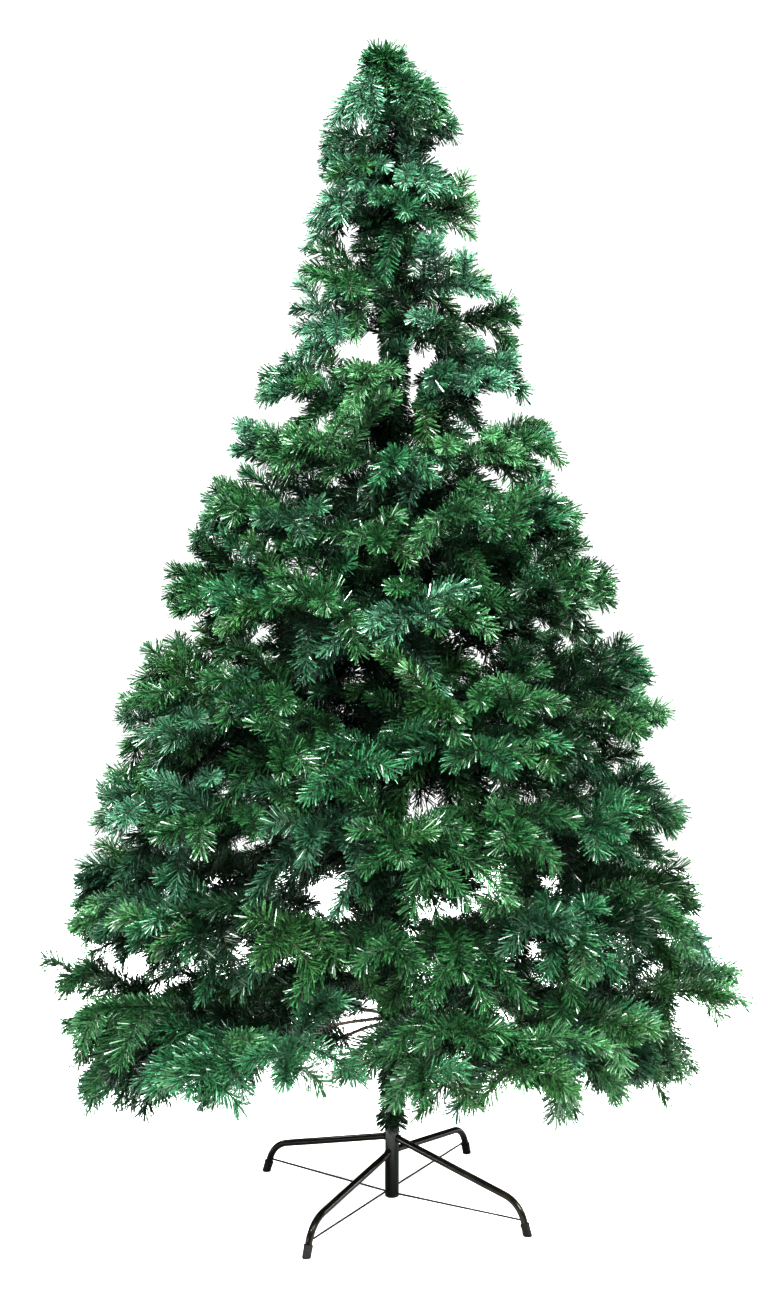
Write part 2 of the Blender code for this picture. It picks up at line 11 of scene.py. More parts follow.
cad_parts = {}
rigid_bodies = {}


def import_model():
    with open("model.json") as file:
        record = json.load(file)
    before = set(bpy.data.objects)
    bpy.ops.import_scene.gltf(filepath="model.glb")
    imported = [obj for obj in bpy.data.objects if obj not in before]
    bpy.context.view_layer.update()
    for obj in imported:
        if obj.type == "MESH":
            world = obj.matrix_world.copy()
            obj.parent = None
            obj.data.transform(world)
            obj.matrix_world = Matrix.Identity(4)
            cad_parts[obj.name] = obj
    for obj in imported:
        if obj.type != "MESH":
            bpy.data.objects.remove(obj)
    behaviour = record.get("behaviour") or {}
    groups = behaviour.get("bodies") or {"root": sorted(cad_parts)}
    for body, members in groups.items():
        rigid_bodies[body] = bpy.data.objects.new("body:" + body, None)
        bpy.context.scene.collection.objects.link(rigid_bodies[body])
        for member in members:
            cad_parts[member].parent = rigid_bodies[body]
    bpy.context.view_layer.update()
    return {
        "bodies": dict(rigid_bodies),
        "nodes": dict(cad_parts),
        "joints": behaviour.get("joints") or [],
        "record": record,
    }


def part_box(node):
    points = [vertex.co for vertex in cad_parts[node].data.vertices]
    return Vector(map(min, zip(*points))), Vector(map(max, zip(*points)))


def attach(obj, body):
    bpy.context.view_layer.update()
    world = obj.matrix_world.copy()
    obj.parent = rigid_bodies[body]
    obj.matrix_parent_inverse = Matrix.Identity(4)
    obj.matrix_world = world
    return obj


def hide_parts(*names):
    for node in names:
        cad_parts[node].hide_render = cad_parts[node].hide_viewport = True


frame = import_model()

# ------------ stand tube
# The socket that takes the pole: a short length of steel tube, rolled and seam-welded, then
# dipped in glossy green-black paint.  The seam stands a little proud down its front.
TUBE_LOW, TUBE_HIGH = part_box("stand_tube")
TUBE_RADIUS = TUBE_HIGH.x
TUBE_WALL = 0.0012
TUBE_SEAM = math.radians(255.0)
SEAM_HALF = math.radians(4.0)
SEAM_RISE = 0.0003
STAND_PAINT = (0.003, 0.006, 0.004)
STAND_PAINT_WORN = (0.007, 0.009, 0.006)
DUST_COLOUR = (0.30, 0.29, 0.26, 1.0)
CREASE = math.radians(35.0)


def feed(node, sockets):
    """Link each of a node's inputs to another node's socket, or give it a plain value."""
    for key, value in sockets.items():
        if isinstance(value, bpy.types.NodeSocket):
            node.id_data.links.new(value, node.inputs[key])
        else:
            node.inputs[key].default_value = value


def add_node(tree, kind, sockets, **settings):
    """A shader node with its settings and its fed inputs."""
    made = tree.nodes.new("ShaderNode" + kind)
    for key, value in settings.items():
        setattr(made, key, value)
    feed(made, sockets)
    return made


def new_group(name, inputs, outputs):
    """An empty shader node group with named sockets, as (tree, its input node, its output node)."""
    tree = bpy.data.node_groups.new(name, "ShaderNodeTree")
    for way, sockets in (("INPUT", inputs), ("OUTPUT", outputs)):
        for label, kind in sockets.items():
            tree.interface.new_socket(label, in_out=way, socket_type="NodeSocket" + kind)
    return tree, tree.nodes.new("NodeGroupInput"), tree.nodes.new("NodeGroupOutput")


def mottle_group():
    """Two colours mixed by soft patches, with a matching change of roughness and a fine relief."""
    tree, given, result = new_group(
        "mottled_skin",
        {"Colour": "Color", "Second colour": "Color", "Patch scale": "Float", "Grain scale": "Float",
         "Roughness low": "Float", "Roughness high": "Float"},
        {"Colour": "Color", "Roughness": "Float", "Height": "Float"})
    place = add_node(tree, "TexCoord", {}).outputs["Object"]
    patches = add_node(tree, "TexNoise", {"Vector": place, "Scale": given.outputs["Patch scale"],
                                          "Detail": 4.0, "Roughness": 0.6})
    spread = add_node(tree, "MapRange", {"Value": patches.outputs["Fac"], "From Min": 0.38,
                                         "From Max": 0.66})
    grain = add_node(tree, "TexNoise", {"Vector": place, "Scale": given.outputs["Grain scale"],
                                        "Detail": 2.0})
    tone = add_node(tree, "Mix", {0: spread.outputs["Result"], 6: given.outputs["Colour"],
                                  7: given.outputs["Second colour"]}, data_type="RGBA")
    rough = add_node(tree, "MapRange", {"Value": spread.outputs["Result"],
                                        "To Min": given.outputs["Roughness low"],
                                        "To Max": given.outputs["Roughness high"]})
    feed(result, {"Colour": tone.outputs[2], "Roughness": rough.outputs["Result"],
                  "Height": grain.outputs["Fac"]})
    return tree


def dust_group():
    """A thin film of dust that lies thickest on what faces up."""
    tree, given, result = new_group(
        "settled_dust", {"Colour": "Color", "Dust colour": "Color", "Amount": "Float"},
        {"Colour": "Color"})
    shape = add_node(tree, "NewGeometry", {})
    facing = add_node(tree, "SeparateXYZ", {"Vector": shape.outputs["Normal"]})
    upward = add_node(tree, "MapRange", {"Value": facing.outputs["Z"], "From Min": 0.1,
                                         "To Max": given.outputs["Amount"]})
    place = add_node(tree, "TexCoord", {}).outputs["Object"]
    patches = add_node(tree, "TexNoise", {"Vector": place, "Scale": 180.0, "Detail": 6.0})
    cover = add_node(tree, "Math", {0: upward.outputs["Result"], 1: patches.outputs["Fac"]},
                     operation="MULTIPLY")
    tone = add_node(tree, "Mix", {0: cover.outputs["Value"], 6: given.outputs["Colour"],
                                  7: given.outputs["Dust colour"]}, data_type="RGBA")
    feed(result, {"Colour": tone.outputs[2]})
    return tree


MOTTLE = mottle_group()
DUST = dust_group()


def surface(name, colour, second, roughness, patch=60.0, grain=900.0, relief=0.05, dust=0.15,
            specular=0.5, metallic=0.0):
    """A Principled material with mottled colour and roughness, a fine relief and some dust."""
    material = bpy.data.materials.new(name)
    material.use_nodes = True
    tree = material.node_tree
    skin = add_node(tree, "Group", {"Colour": (*colour, 1.0), "Second colour": (*second, 1.0),
                                    "Patch scale": patch, "Grain scale": grain,
                                    "Roughness low": roughness[0], "Roughness high": roughness[1]},
                    node_tree=MOTTLE)
    film = add_node(tree, "Group", {"Colour": skin.outputs["Colour"], "Dust colour": DUST_COLOUR,
                                    "Amount": dust}, node_tree=DUST)
    bump = add_node(tree, "Bump", {"Height": skin.outputs["Height"], "Strength": relief,
                                   "Distance": 0.0004})
    feed(tree.nodes["Principled BSDF"],
         {"Base Color": film.outputs["Colour"], "Roughness": skin.outputs["Roughness"],
          "Normal": bump.outputs["Normal"], "Specular IOR Level": specular, "Metallic": metallic})
    return material


def stand_paint(name, colour=STAND_PAINT, second=STAND_PAINT_WORN):
    return surface(name, colour, second, (0.13, 0.21), patch=45.0, relief=0.04, dust=0.008,
                   specular=0.25)


def turned(outline, steps):
    """A round form: (radius, height) points spun about Z."""
    form = bmesh.new()
    points = [form.verts.new((radius, 0.0, height)) for radius, height in outline]
    edges = [form.edges.new(pair) for pair in zip(points, points[1:])]
    bmesh.ops.spin(form, geom=points + edges, cent=(0.0, 0.0, 0.0), axis=(0.0, 0.0, 1.0),
                   angle=math.tau, steps=steps, use_merge=True)
    bmesh.ops.remove_doubles(form, verts=form.verts, dist=1e-6)
    return form


def placed(name, data):
    """A new object in the scene."""
    made = bpy.data.objects.new(name, data)
    bpy.context.scene.collection.objects.link(made)
    return made


def seated(name, mesh, nodes):
    """Make a mesh a piece of the tree on the root body, and hide the CAD nodes that it stands for."""
    piece = placed(name, mesh)
    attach(piece, "root")
    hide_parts(*nodes)


def finished(name, form, material, nodes):
    """Make a bmesh a piece of the tree, with its faces turned outwards and shaded smooth."""
    bmesh.ops.recalc_face_normals(form, faces=form.faces)
    mesh = bpy.data.meshes.new(name)
    form.to_mesh(mesh)
    form.free()
    mesh.materials.append(material)
    mesh.shade_smooth()
    mesh.set_sharp_from_angle(angle=CREASE)
    seated(name, mesh, nodes)


def rounded(centre, radius, first, last, steps=4):
    """Points of an arc in a turned outline, from one angle to another, in degrees."""
    for step in range(steps + 1):
        angle = math.radians(first + (last - first) * step / steps)
        yield centre[0] + radius * math.cos(angle), centre[1] + radius * math.sin(angle)


rim = 0.5 * TUBE_WALL
middle = TUBE_RADIUS - rim
outline = [*rounded((middle, TUBE_HIGH.z - rim), rim, 0.0, 180.0),
           *rounded((middle, TUBE_LOW.z + rim), rim, 180.0, 360.0)]
tube = turned(outline + outline[:1], 48)
for vert in tube.verts:
    aside = math.remainder(math.atan2(vert.co.y, vert.co.x) - TUBE_SEAM, math.tau)
    if abs(aside) < SEAM_HALF and vert.co.xy.length > TUBE_RADIUS - 0.0002:
        vert.co.xy *= 1.0 + SEAM_RISE / TUBE_RADIUS
finished("stand_tube_socket", tube, stand_paint("stand_tube_paint"), ["stand_tube"])

# ------------ tube plug
# A push-in cap of black moulded plastic that closes the tube's lower end.  Its rim is as wide
# as the tube and softly rounded underneath, round the shallow mark of the mould's gate.
PLUG_LOW, PLUG_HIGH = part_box("tube_plug")
CLEAR = 0.0003
PLUG_SHANK = TUBE_RADIUS - TUBE_WALL - CLEAR
PLUG_EDGE = 0.0008
GATE_RADIUS = 0.0050
GATE_DEPTH = 0.0006

lip = TUBE_LOW.z - CLEAR
gate = PLUG_LOW.z + GATE_DEPTH
outline = [(0.0, PLUG_HIGH.z), (PLUG_SHANK - PLUG_EDGE, PLUG_HIGH.z),
           (PLUG_SHANK, PLUG_HIGH.z - PLUG_EDGE), (PLUG_SHANK, lip), (TUBE_RADIUS, lip),
           *rounded((TUBE_RADIUS - PLUG_EDGE, PLUG_LOW.z + PLUG_EDGE), PLUG_EDGE, 0.0, -90.0),
           (GATE_RADIUS + 0.001, PLUG_LOW.z), (GATE_RADIUS, gate), (0.0, gate)]
finished("tube_end_plug", turned(outline, 32),
         surface("tube_plug_plastic", (0.008, 0.008, 0.008), (0.016, 0.016, 0.015), (0.38, 0.52),
                 patch=220.0, grain=2600.0, relief=0.25),
         ["tube_plug"])

# ------------ legs
# Four steel rods, bent at the knee, welded by their inner ends to the tube in two crossing
# pairs, one pair above the other, and painted a browner black.
LEGS = {side: math.radians(-31.7) + 0.5 * math.pi * number for number, side in
        enumerate(("front_right", "back_right", "back_left", "front_left"))}
LEG_RADIUS = 0.0054
LEG_KNEE = Vector((0.2290, 0.0496))
LEG_BEND = 0.0480
LEG_ROOTS = (0.1080, 0.0846)
FOOT_REACH = 0.2445
ROD_END_GAP = 0.0038
LEG_PAINT = (0.007, 0.006, 0.004)
LEG_PAINT_WORN = (0.016, 0.013, 0.008)
WELD_THICKNESS = 0.0014
WELD_PLACE = 0.0026
WELD_STEPS = 24


def compass(azimuth, distance, height):
    """A point by its azimuth in radians, its distance from the axis and its height."""
    return Vector((distance * math.cos(azimuth), distance * math.sin(azimuth), height))


def turned_corner(start, corner, end, bend, steps):
    """Points from start to end, round a corner on an arc of the bend's radius."""
    inward = (start - corner).normalized()
    outward = (end - corner).normalized()
    half = 0.5 * inward.angle(outward)
    centre = corner + (inward + outward).normalized() * bend / math.sin(half)
    first = corner + inward * bend / math.tan(half) - centre
    last = corner + outward * bend / math.tan(half) - centre
    sweep = first.angle(last)
    yield start
    for step in range(steps + 1):
        share = step / steps
        yield centre + (first * math.sin((1.0 - share) * sweep)
                        + last * math.sin(share * sweep)) / math.sin(sweep)
    yield end


def swept(form, line, radii, sides):
    """Add a round bar along a line of points, with a radius at each point."""
    ways = [(after - before).normalized() for before, after in
            zip([line[0], *line[:-1]], [*line[1:], line[-1]])]
    roll = ways[0].to_track_quat("Z", "Y")
    ring = bmesh.ops.create_circle(form, segments=sides, radius=1.0)["verts"]
    first = edges = list(dict.fromkeys(edge for vert in ring for edge in vert.link_edges))
    unit = [vert.co.copy() for vert in ring]
    for number, (centre, way, radius) in enumerate(zip(line, ways, radii)):
        if number:
            grown = bmesh.ops.extrude_edge_only(form, edges=edges)["geom"]
            ring = [next(item for edge in vert.link_edges
                         if (item := edge.other_vert(vert)) in grown) for vert in ring]
            edges = [item for item in grown if isinstance(item, bmesh.types.BMEdge)
                     and all(vert in ring for vert in item.verts)]
            roll = ways[number - 1].rotation_difference(way) @ roll
        for vert, spot in zip(ring, unit):
            vert.co = centre + roll @ (spot * radius)
    bmesh.ops.holes_fill(form, edges=first + edges, sides=sides)


def weld_bead(form, centre, way, radius, dice):
    """Add the rippled ring of weld metal round a rod where it meets the tube."""
    around = way.to_track_quat("Z", "Y")
    line = []
    for step in range(WELD_STEPS):
        angle = math.tau * step / WELD_STEPS
        line.append(centre + around @ Vector((radius * math.cos(angle), radius * math.sin(angle),
                                              dice.uniform(-0.0003, 0.0003))))
    line.append(line[0])
    swept(form, line, [WELD_THICKNESS * dice.uniform(0.8, 1.15) for _ in line], 8)


down_leg = (Vector((FOOT_REACH, 0.0)) - LEG_KNEE).normalized()
rod_end = Vector((FOOT_REACH, 0.0)) - down_leg * ROD_END_GAP
for number, (side, azimuth) in enumerate(LEGS.items()):
    root = Vector((TUBE_RADIUS - 0.0015, LEG_ROOTS[number % 2]))
    line = [compass(azimuth, *spot) for spot in turned_corner(root, LEG_KNEE, rod_end, LEG_BEND, 16)]
    leg = bmesh.new()
    swept(leg, line, [LEG_RADIUS] * len(line), 24)
    along = (line[1] - line[0]).normalized()
    weld_bead(leg, line[0] + along * WELD_PLACE, along, LEG_RADIUS + 0.0002, random.Random(number))
    finished("leg_rod_" + side, leg, stand_paint("leg_%s_paint" % side, LEG_PAINT, LEG_PAINT_WORN),
             ["leg_" + side])

# ------------ foot caps
# Black rubber caps pushed over the ends of the legs.  Each is moulded with a rolled lip and a
# parting line, and its sole is worn flat on the floor.
CAP_RADIUS = 0.0068
CAP_LENGTH = 0.0190
CAP_LIP = 0.0009
CAP_LINE = 0.0110
CAP_BORE = LEG_RADIUS + 0.0002

sole = math.atan2(down_leg.x, -down_leg.y)
for side, azimuth in LEGS.items():
    outline = [(0.0, ROD_END_GAP), (CAP_BORE, ROD_END_GAP), (CAP_BORE, CAP_LENGTH),
               *rounded((CAP_RADIUS - 0.0004, CAP_LENGTH - CAP_LIP), CAP_LIP, 90.0, -30.0, 5),
               (CAP_RADIUS - 0.0002, CAP_LINE + 0.0006), (CAP_RADIUS + 0.0001, CAP_LINE),
               (CAP_RADIUS - 0.0002, CAP_LINE - 0.0006), (CAP_RADIUS, 0.0012),
               (CAP_RADIUS - 0.0002, -0.0040), (0.0, -0.0040)]
    cap = turned(outline, 32)
    cap.transform(Matrix.Rotation(azimuth, 4, "Z") @ Matrix.Translation((FOOT_REACH, 0.0, 0.0))
                  @ Matrix.Rotation(-sole, 4, "Y"))
    bmesh.ops.bisect_plane(cap, geom=[*cap.verts, *cap.edges, *cap.faces], plane_co=(0.0, 0.0, 0.0),
                           plane_no=(0.0, 0.0, -1.0), clear_outer=True)
    bmesh.ops.holes_fill(cap, edges=[edge for edge in cap.edges if edge.is_boundary], sides=0)
    finished("rubber_foot_" + side, cap,
             surface("foot_rubber_" + side, (0.005, 0.005, 0.005), (0.012, 0.012, 0.011),
                     (0.45, 0.60), patch=160.0, grain=1800.0, relief=0.3, dust=0.06, specular=0.25),
             ["foot_cap_" + side])

# ------------ tie rods
# Two thin painted steel rods that cross in the tube's foot.  Each runs from one leg through holes in
# the tube to the leg opposite and keeps the legs from spreading.
TIE_RADIUS = 0.0013
TIE_END_HEIGHT = 0.0228
TIE_HEIGHTS = (0.0160, 0.0235)
TIE_SHOULDER = TUBE_RADIUS + 0.0020
TIE_NAMES = ("front_right_to_back_left", "back_right_to_front_left")

reach = LEG_KNEE.x + down_leg.x * (LEG_KNEE.y - TIE_END_HEIGHT) / -down_leg.y - 0.002
for number, (name, azimuth, middle) in enumerate(zip(TIE_NAMES, LEGS.values(), TIE_HEIGHTS)):
    half = [(reach, TIE_END_HEIGHT), (TIE_SHOULDER + 0.006, middle + 0.0003), (TIE_SHOULDER, middle)]
    line = [compass(azimuth, distance, height) for distance, height in half]
    line += [compass(azimuth, -distance, height) for distance, height in reversed(half)]
    bar = bmesh.new()
    swept(bar, line, [TIE_RADIUS] * len(line), 12)
    finished("tie_bar_" + name, bar,
             surface("tie_bar_%d_paint" % number, LEG_PAINT, LEG_PAINT_WORN, (0.40, 0.55),
                     patch=90.0, dust=0.02, specular=0.1),
             ["tie_rod_" + name])

# ------------ pole
# Two lengths of thin painted tube, the upper slipped over the necked end of the lower.  The
# upper one ends in a bent wire leader, bare where it shows between the whorls of the top.
POLE_LOW, POLE_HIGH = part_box("pole_lower")
POLE_RADIUS = 0.0095
POLE_JOINT = 0.8600
POLE_NECK = 0.0016
UPPER_RADIUS = 0.0080
POLE_TOP = 1.3400
LEADER_RADII = (0.0030, 0.0034, 0.0034, 0.0032, 0.0020)
LEADER_PATH = ((0.0, 1.310), (0.0, 1.360), (-0.0085, 1.560), (-0.0182, 1.675), (-0.0140, 1.765))
WIRE_BROWN = (0.050, 0.030, 0.016)
WIRE_DARK = (0.020, 0.013, 0.008)


def smooth_line(points, steps):
    """Points of a smooth curve through the given ones, with even steps between each pair."""
    points = [Vector(point) for point in points]
    ends = [2.0 * points[0] - points[1], *points, 2.0 * points[-1] - points[-2]]
    for before, start, end, after in zip(ends, ends[1:], ends[2:], ends[3:]):
        for step in range(steps):
            t = step / steps
            yield (start + 0.5 * t * (end - before) + t * t * (before - 2.5 * start + 2.0 * end - 0.5 * after)
                   + 0.5 * t ** 3 * (3.0 * start - 3.0 * end + after - before))
    yield points[-1]


def pole_paint(name):
    return surface(name, (0.005, 0.010, 0.005), (0.010, 0.017, 0.009), (0.36, 0.52), patch=35.0,
                   relief=0.08, dust=0.05, specular=0.3)


def bare_wire(name, colour=WIRE_BROWN, second=WIRE_DARK):
    return surface(name, colour, second, (0.38, 0.55), patch=140.0, grain=1500.0, relief=0.3,
                   metallic=0.35)


neck = POLE_RADIUS - POLE_NECK
outline = [(0.0, POLE_HIGH.z), (neck - 0.0006, POLE_HIGH.z), (neck, POLE_HIGH.z - 0.0006),
           (neck, POLE_JOINT + 0.0020), (POLE_RADIUS, POLE_JOINT), (POLE_RADIUS, POLE_LOW.z),
           (0.0, POLE_LOW.z)]
finished("pole_lower_tube", turned(outline, 32), pole_paint("pole_lower_paint"),
         ["pole_lower"])

foot = POLE_JOINT + CLEAR
outline = [(0.0, POLE_TOP), (0.5 * UPPER_RADIUS, POLE_TOP),
           *rounded((UPPER_RADIUS - 0.003, POLE_TOP - 0.003), 0.003, 90.0, 0.0),
           (UPPER_RADIUS, foot + 0.085), (POLE_RADIUS, foot + 0.075), (POLE_RADIUS, foot),
           (neck + CLEAR, foot), (neck + CLEAR, foot + 0.002)]
upper = turned(outline, 32)
leader = list(smooth_line([(lean, 0.0, height) for lean, height in LEADER_PATH], 6))
swept(upper, leader[:7], list(np.linspace(0.0026, LEADER_RADII[1], 7)), 12)
finished("pole_upper_tube", upper, pole_paint("pole_upper_paint"), ["pole_upper"])

# ------------ hubs and boughs
# At the two lowest tiers each bough is a bare brown steel wire.  Its hooked end drops into a
# pressed collar on the pole, and its outer end is bound into the branch that it carries.
HUB_RADIUS = 0.0155
HUB_HALF = 0.0070
HUB_FLANGE = 0.0016
HUB_GROOVE = HUB_RADIUS - 0.0030
HOOK_REACH = HUB_RADIUS - 0.0014
HOOK_RADIUS = 0.0020
# the hook, from its lower end: distance beyond its reach and height over the bough's root
HOOK_SHAPE = ((0.0, -HUB_HALF - 0.006), (0.0, 0.002), (0.0015, 0.0055), (0.006, 0.006))
BOUGH_RADIUS = 0.0032
LEVEL_END = 0.0070
# tiers: name, number of masses, azimuth of the first, height of the root, bough length,
# spray length, spray radius, spray pitch round the tree
TIERS = (
    ("a", 6, -6.0, 0.297, 0.125, 0.165, 0.045, 0.135),
    ("b", 5, 20.0, 0.406, 0.080, 0.160, 0.044, 0.124),
    ("c", 5, -14.0, 0.545, 0.0, 0.165, 0.044, 0.120),
    ("d", 4, 28.0, 0.700, 0.0, 0.155, 0.043, 0.142),
    ("e", 4, -16.0, 0.855, 0.0, 0.145, 0.043, 0.105),
    ("f", 4, 24.0, 0.985, 0.0, 0.130, 0.041, 0.105),
    ("g", 3, -8.0, 1.110, 0.0, 0.120, 0.039, 0.100),
    ("h", 2, 12.0, 1.225, 0.0, 0.110, 0.037, 0.072),
)
# cone-shaped boundaries between the tiers, from the lowest up: height at the axis, slope and
# how much steeper it is in front
TIER_FLOORS = (
    (0.205, -0.11, 0.36), (0.355, 0.15, 0.12), (0.495, 0.21, 0.06), (0.625, 0.26, 0.0),
    (0.790, 0.34, 0.0), (0.920, 0.40, 0.0), (1.050, 0.42, 0.0), (1.165, 0.44, 0.0),
    (1.285, 0.40, 0.0),
)


def mass_azimuth(tier, number):
    return math.radians(tier[2] + 360.0 * number / tier[1])


def floor_slope(level, azimuth):
    """Slope of a boundary in a direction.  The lowest ones rise more steeply towards the front."""
    _, slope, front = TIER_FLOORS[level]
    return slope + front * max(0.0, -math.sin(azimuth))


def floor_height(level, distance, azimuth):
    return TIER_FLOORS[level][0] + floor_slope(level, azimuth) * distance


def middle_height(level, distance, azimuth):
    return 0.5 * (floor_height(level, distance, azimuth) + floor_height(level + 1, distance, azimuth))


lip = HUB_HALF - HUB_FLANGE
half = [(POLE_RADIUS, HUB_HALF), (HUB_RADIUS, HUB_HALF), (HUB_RADIUS, lip), (HUB_GROOVE, lip)]
for level, (tier, count, _, root, length, *_) in enumerate(TIERS):
    if not length:
        continue
    outline = [(radius, root + rise) for radius, rise in half]
    outline += [(radius, root - rise) for radius, rise in reversed(half)]
    hub = turned(outline + outline[:1], 36)
    finished("hub_collar_" + tier, hub, pole_paint("hub_collar_%s_paint" % tier),
             ["pole_lower"])
    for number in range(count):
        azimuth = mass_azimuth(TIERS[level], number)
        end = middle_height(level, length, azimuth)
        hook = [compass(azimuth, HOOK_REACH + out, root + rise) for out, rise in HOOK_SHAPE]
        wire = list(smooth_line([
            compass(azimuth, HOOK_REACH + 0.014, root + 0.004),
            compass(azimuth, 0.5 * (HOOK_REACH + length), 0.5 * (root + end) + 0.004),
            compass(azimuth, length - LEVEL_END, end), compass(azimuth, length, end)], 5))
        radii = np.linspace(0.9 * BOUGH_RADIUS, 0.75 * BOUGH_RADIUS, len(wire))
        bough = bmesh.new()
        swept(bough, hook + wire, [HOOK_RADIUS] * len(hook) + list(radii), 12)
        label = "%s%d" % (tier, number + 1)
        finished("bough_wire_" + label, bough, bare_wire("bough_wire_%s_metal" % label),
                 ["bough_" + label])

# ------------ branch plan
# Each mass of the crown is one branch with its own wedge of space between two tiers.  Sprays
# are set from the crown's edge inwards, by the same seeded rule as in the solid model.
HEIGHT = 1.800
SEED = 1800
STEM_BEND = 0.4
SPRAY_CORE = 0.0085
SHELL_STEP = 0.82
ROW_PITCH = 1.30
SPRAY_SPACING = 1.10
TWIG_SPACING = 0.60
INNER_LIMIT = 0.040
LEAST_REACH = 0.97
TRIES = 9
TOP_SPRAY_RADIUS = 0.036
TOP_SPRAY_LENGTH = 0.110
# crown outline: height, reach to the left and reach to the right
CROWN_OUTLINE = (
    (0.160, 0.440, 0.490), (0.220, 0.515, 0.510), (0.290, 0.480, 0.400), (0.365, 0.571, 0.559),
    (0.510, 0.505, 0.485), (0.650, 0.472, 0.450), (0.820, 0.433, 0.427), (0.970, 0.360, 0.352),
    (1.150, 0.285, 0.272), (1.290, 0.212, 0.243), (1.420, 0.165, 0.182), (1.570, 0.140, 0.124),
    (1.700, 0.108, 0.092), (1.800, 0.030, 0.030),
)
# whorls of the top mass: height on the leader, number of sprays, rise of their tips
TOP_WHORLS = ((1.365, 5, 0.015), (1.420, 4, 0.010), (1.520, 5, 0.035), (1.575, 4, 0.035),
              (1.640, 4, 0.035), (1.755, 4, -0.055))


def crown_reach(height, azimuth):
    """Distance from the axis to the crown's edge at a height, in a direction."""
    height = min(max(height, CROWN_OUTLINE[0][0]), CROWN_OUTLINE[-1][0])
    for low, high in zip(CROWN_OUTLINE, CROWN_OUTLINE[1:]):
        if height <= high[0]:
            break
    share = (height - low[0]) / (high[0] - low[0])
    left, right = (start + share * (end - start) for start, end in zip(low[1:], high[1:]))
    return left + (0.5 + 0.5 * math.cos(azimuth)) * (right - left)


def in_space(point, level, azimuth, half_angle, room):
    """Whether a ball round a point keeps to its mass's own wedge between two tier floors."""
    distance = math.hypot(point.x, point.y)
    turn = math.atan2(point.y, point.x)
    aside = math.remainder(turn - azimuth, math.tau)
    if abs(aside) >= half_angle or distance * math.sin(min(half_angle - abs(aside), 1.5)) < room:
        return False
    for floor, way in ((level, 1.0), (level + 1, -1.0)):
        slope = floor_slope(floor, turn)
        if way * (point.z - floor_height(floor, distance, turn)) < room * math.hypot(1.0, slope):
            return False
    return True


def nearest(first, second):
    """Least distance between two runs of points."""
    return min((spot - point).length for spot in first for point in second)


def brush_and_twig(spray):
    """Points along a spray's brush and along the free part of its twig."""
    fork, base, tip, *_ = spray
    return ([base.lerp(tip, at / 4.0) for at in range(5)],
            [fork.lerp(base, at / 6.0) for at in range(2, 7)])


def apart(spray, others):
    """Whether a spray keeps off the brushes and the twigs of the sprays before it."""
    brush, twig = brush_and_twig(spray)
    radius = spray[3]
    for other_brush, other_twig in map(brush_and_twig, others):
        if nearest(brush, other_brush) < SPRAY_SPACING * radius:
            return False
        if min(nearest(brush, other_twig), nearest(twig, other_brush)) < TWIG_SPACING * radius:
            return False
    return True


def on_stem(stem, distance):
    """The point of a stem at a distance from the pole's axis."""
    for near, far in zip(stem, stem[1:]):
        if distance <= far.xy.length:
            break
    return near.lerp(far, (distance - near.xy.length) / (far.xy.length - near.xy.length))


def spray_fits(spray, level, azimuth, half_angle):
    """Whether a spray's twig runs outwards, and it keeps to its mass's space and off the pole."""
    fork, base, tip, radius, _ = spray
    if (base - fork).dot(tip - base) < 0.5 * (base - fork).length * (tip - base).length:
        return False
    room = radius + 0.001
    for at in (0.2, 0.6, 1.0):
        spot = base.lerp(tip, at)
        if not in_space(spot, level, azimuth, half_angle, room) or spot.xy.length < room + 0.010:
            return False
    return in_space(base, level, azimuth, half_angle, SPRAY_CORE)


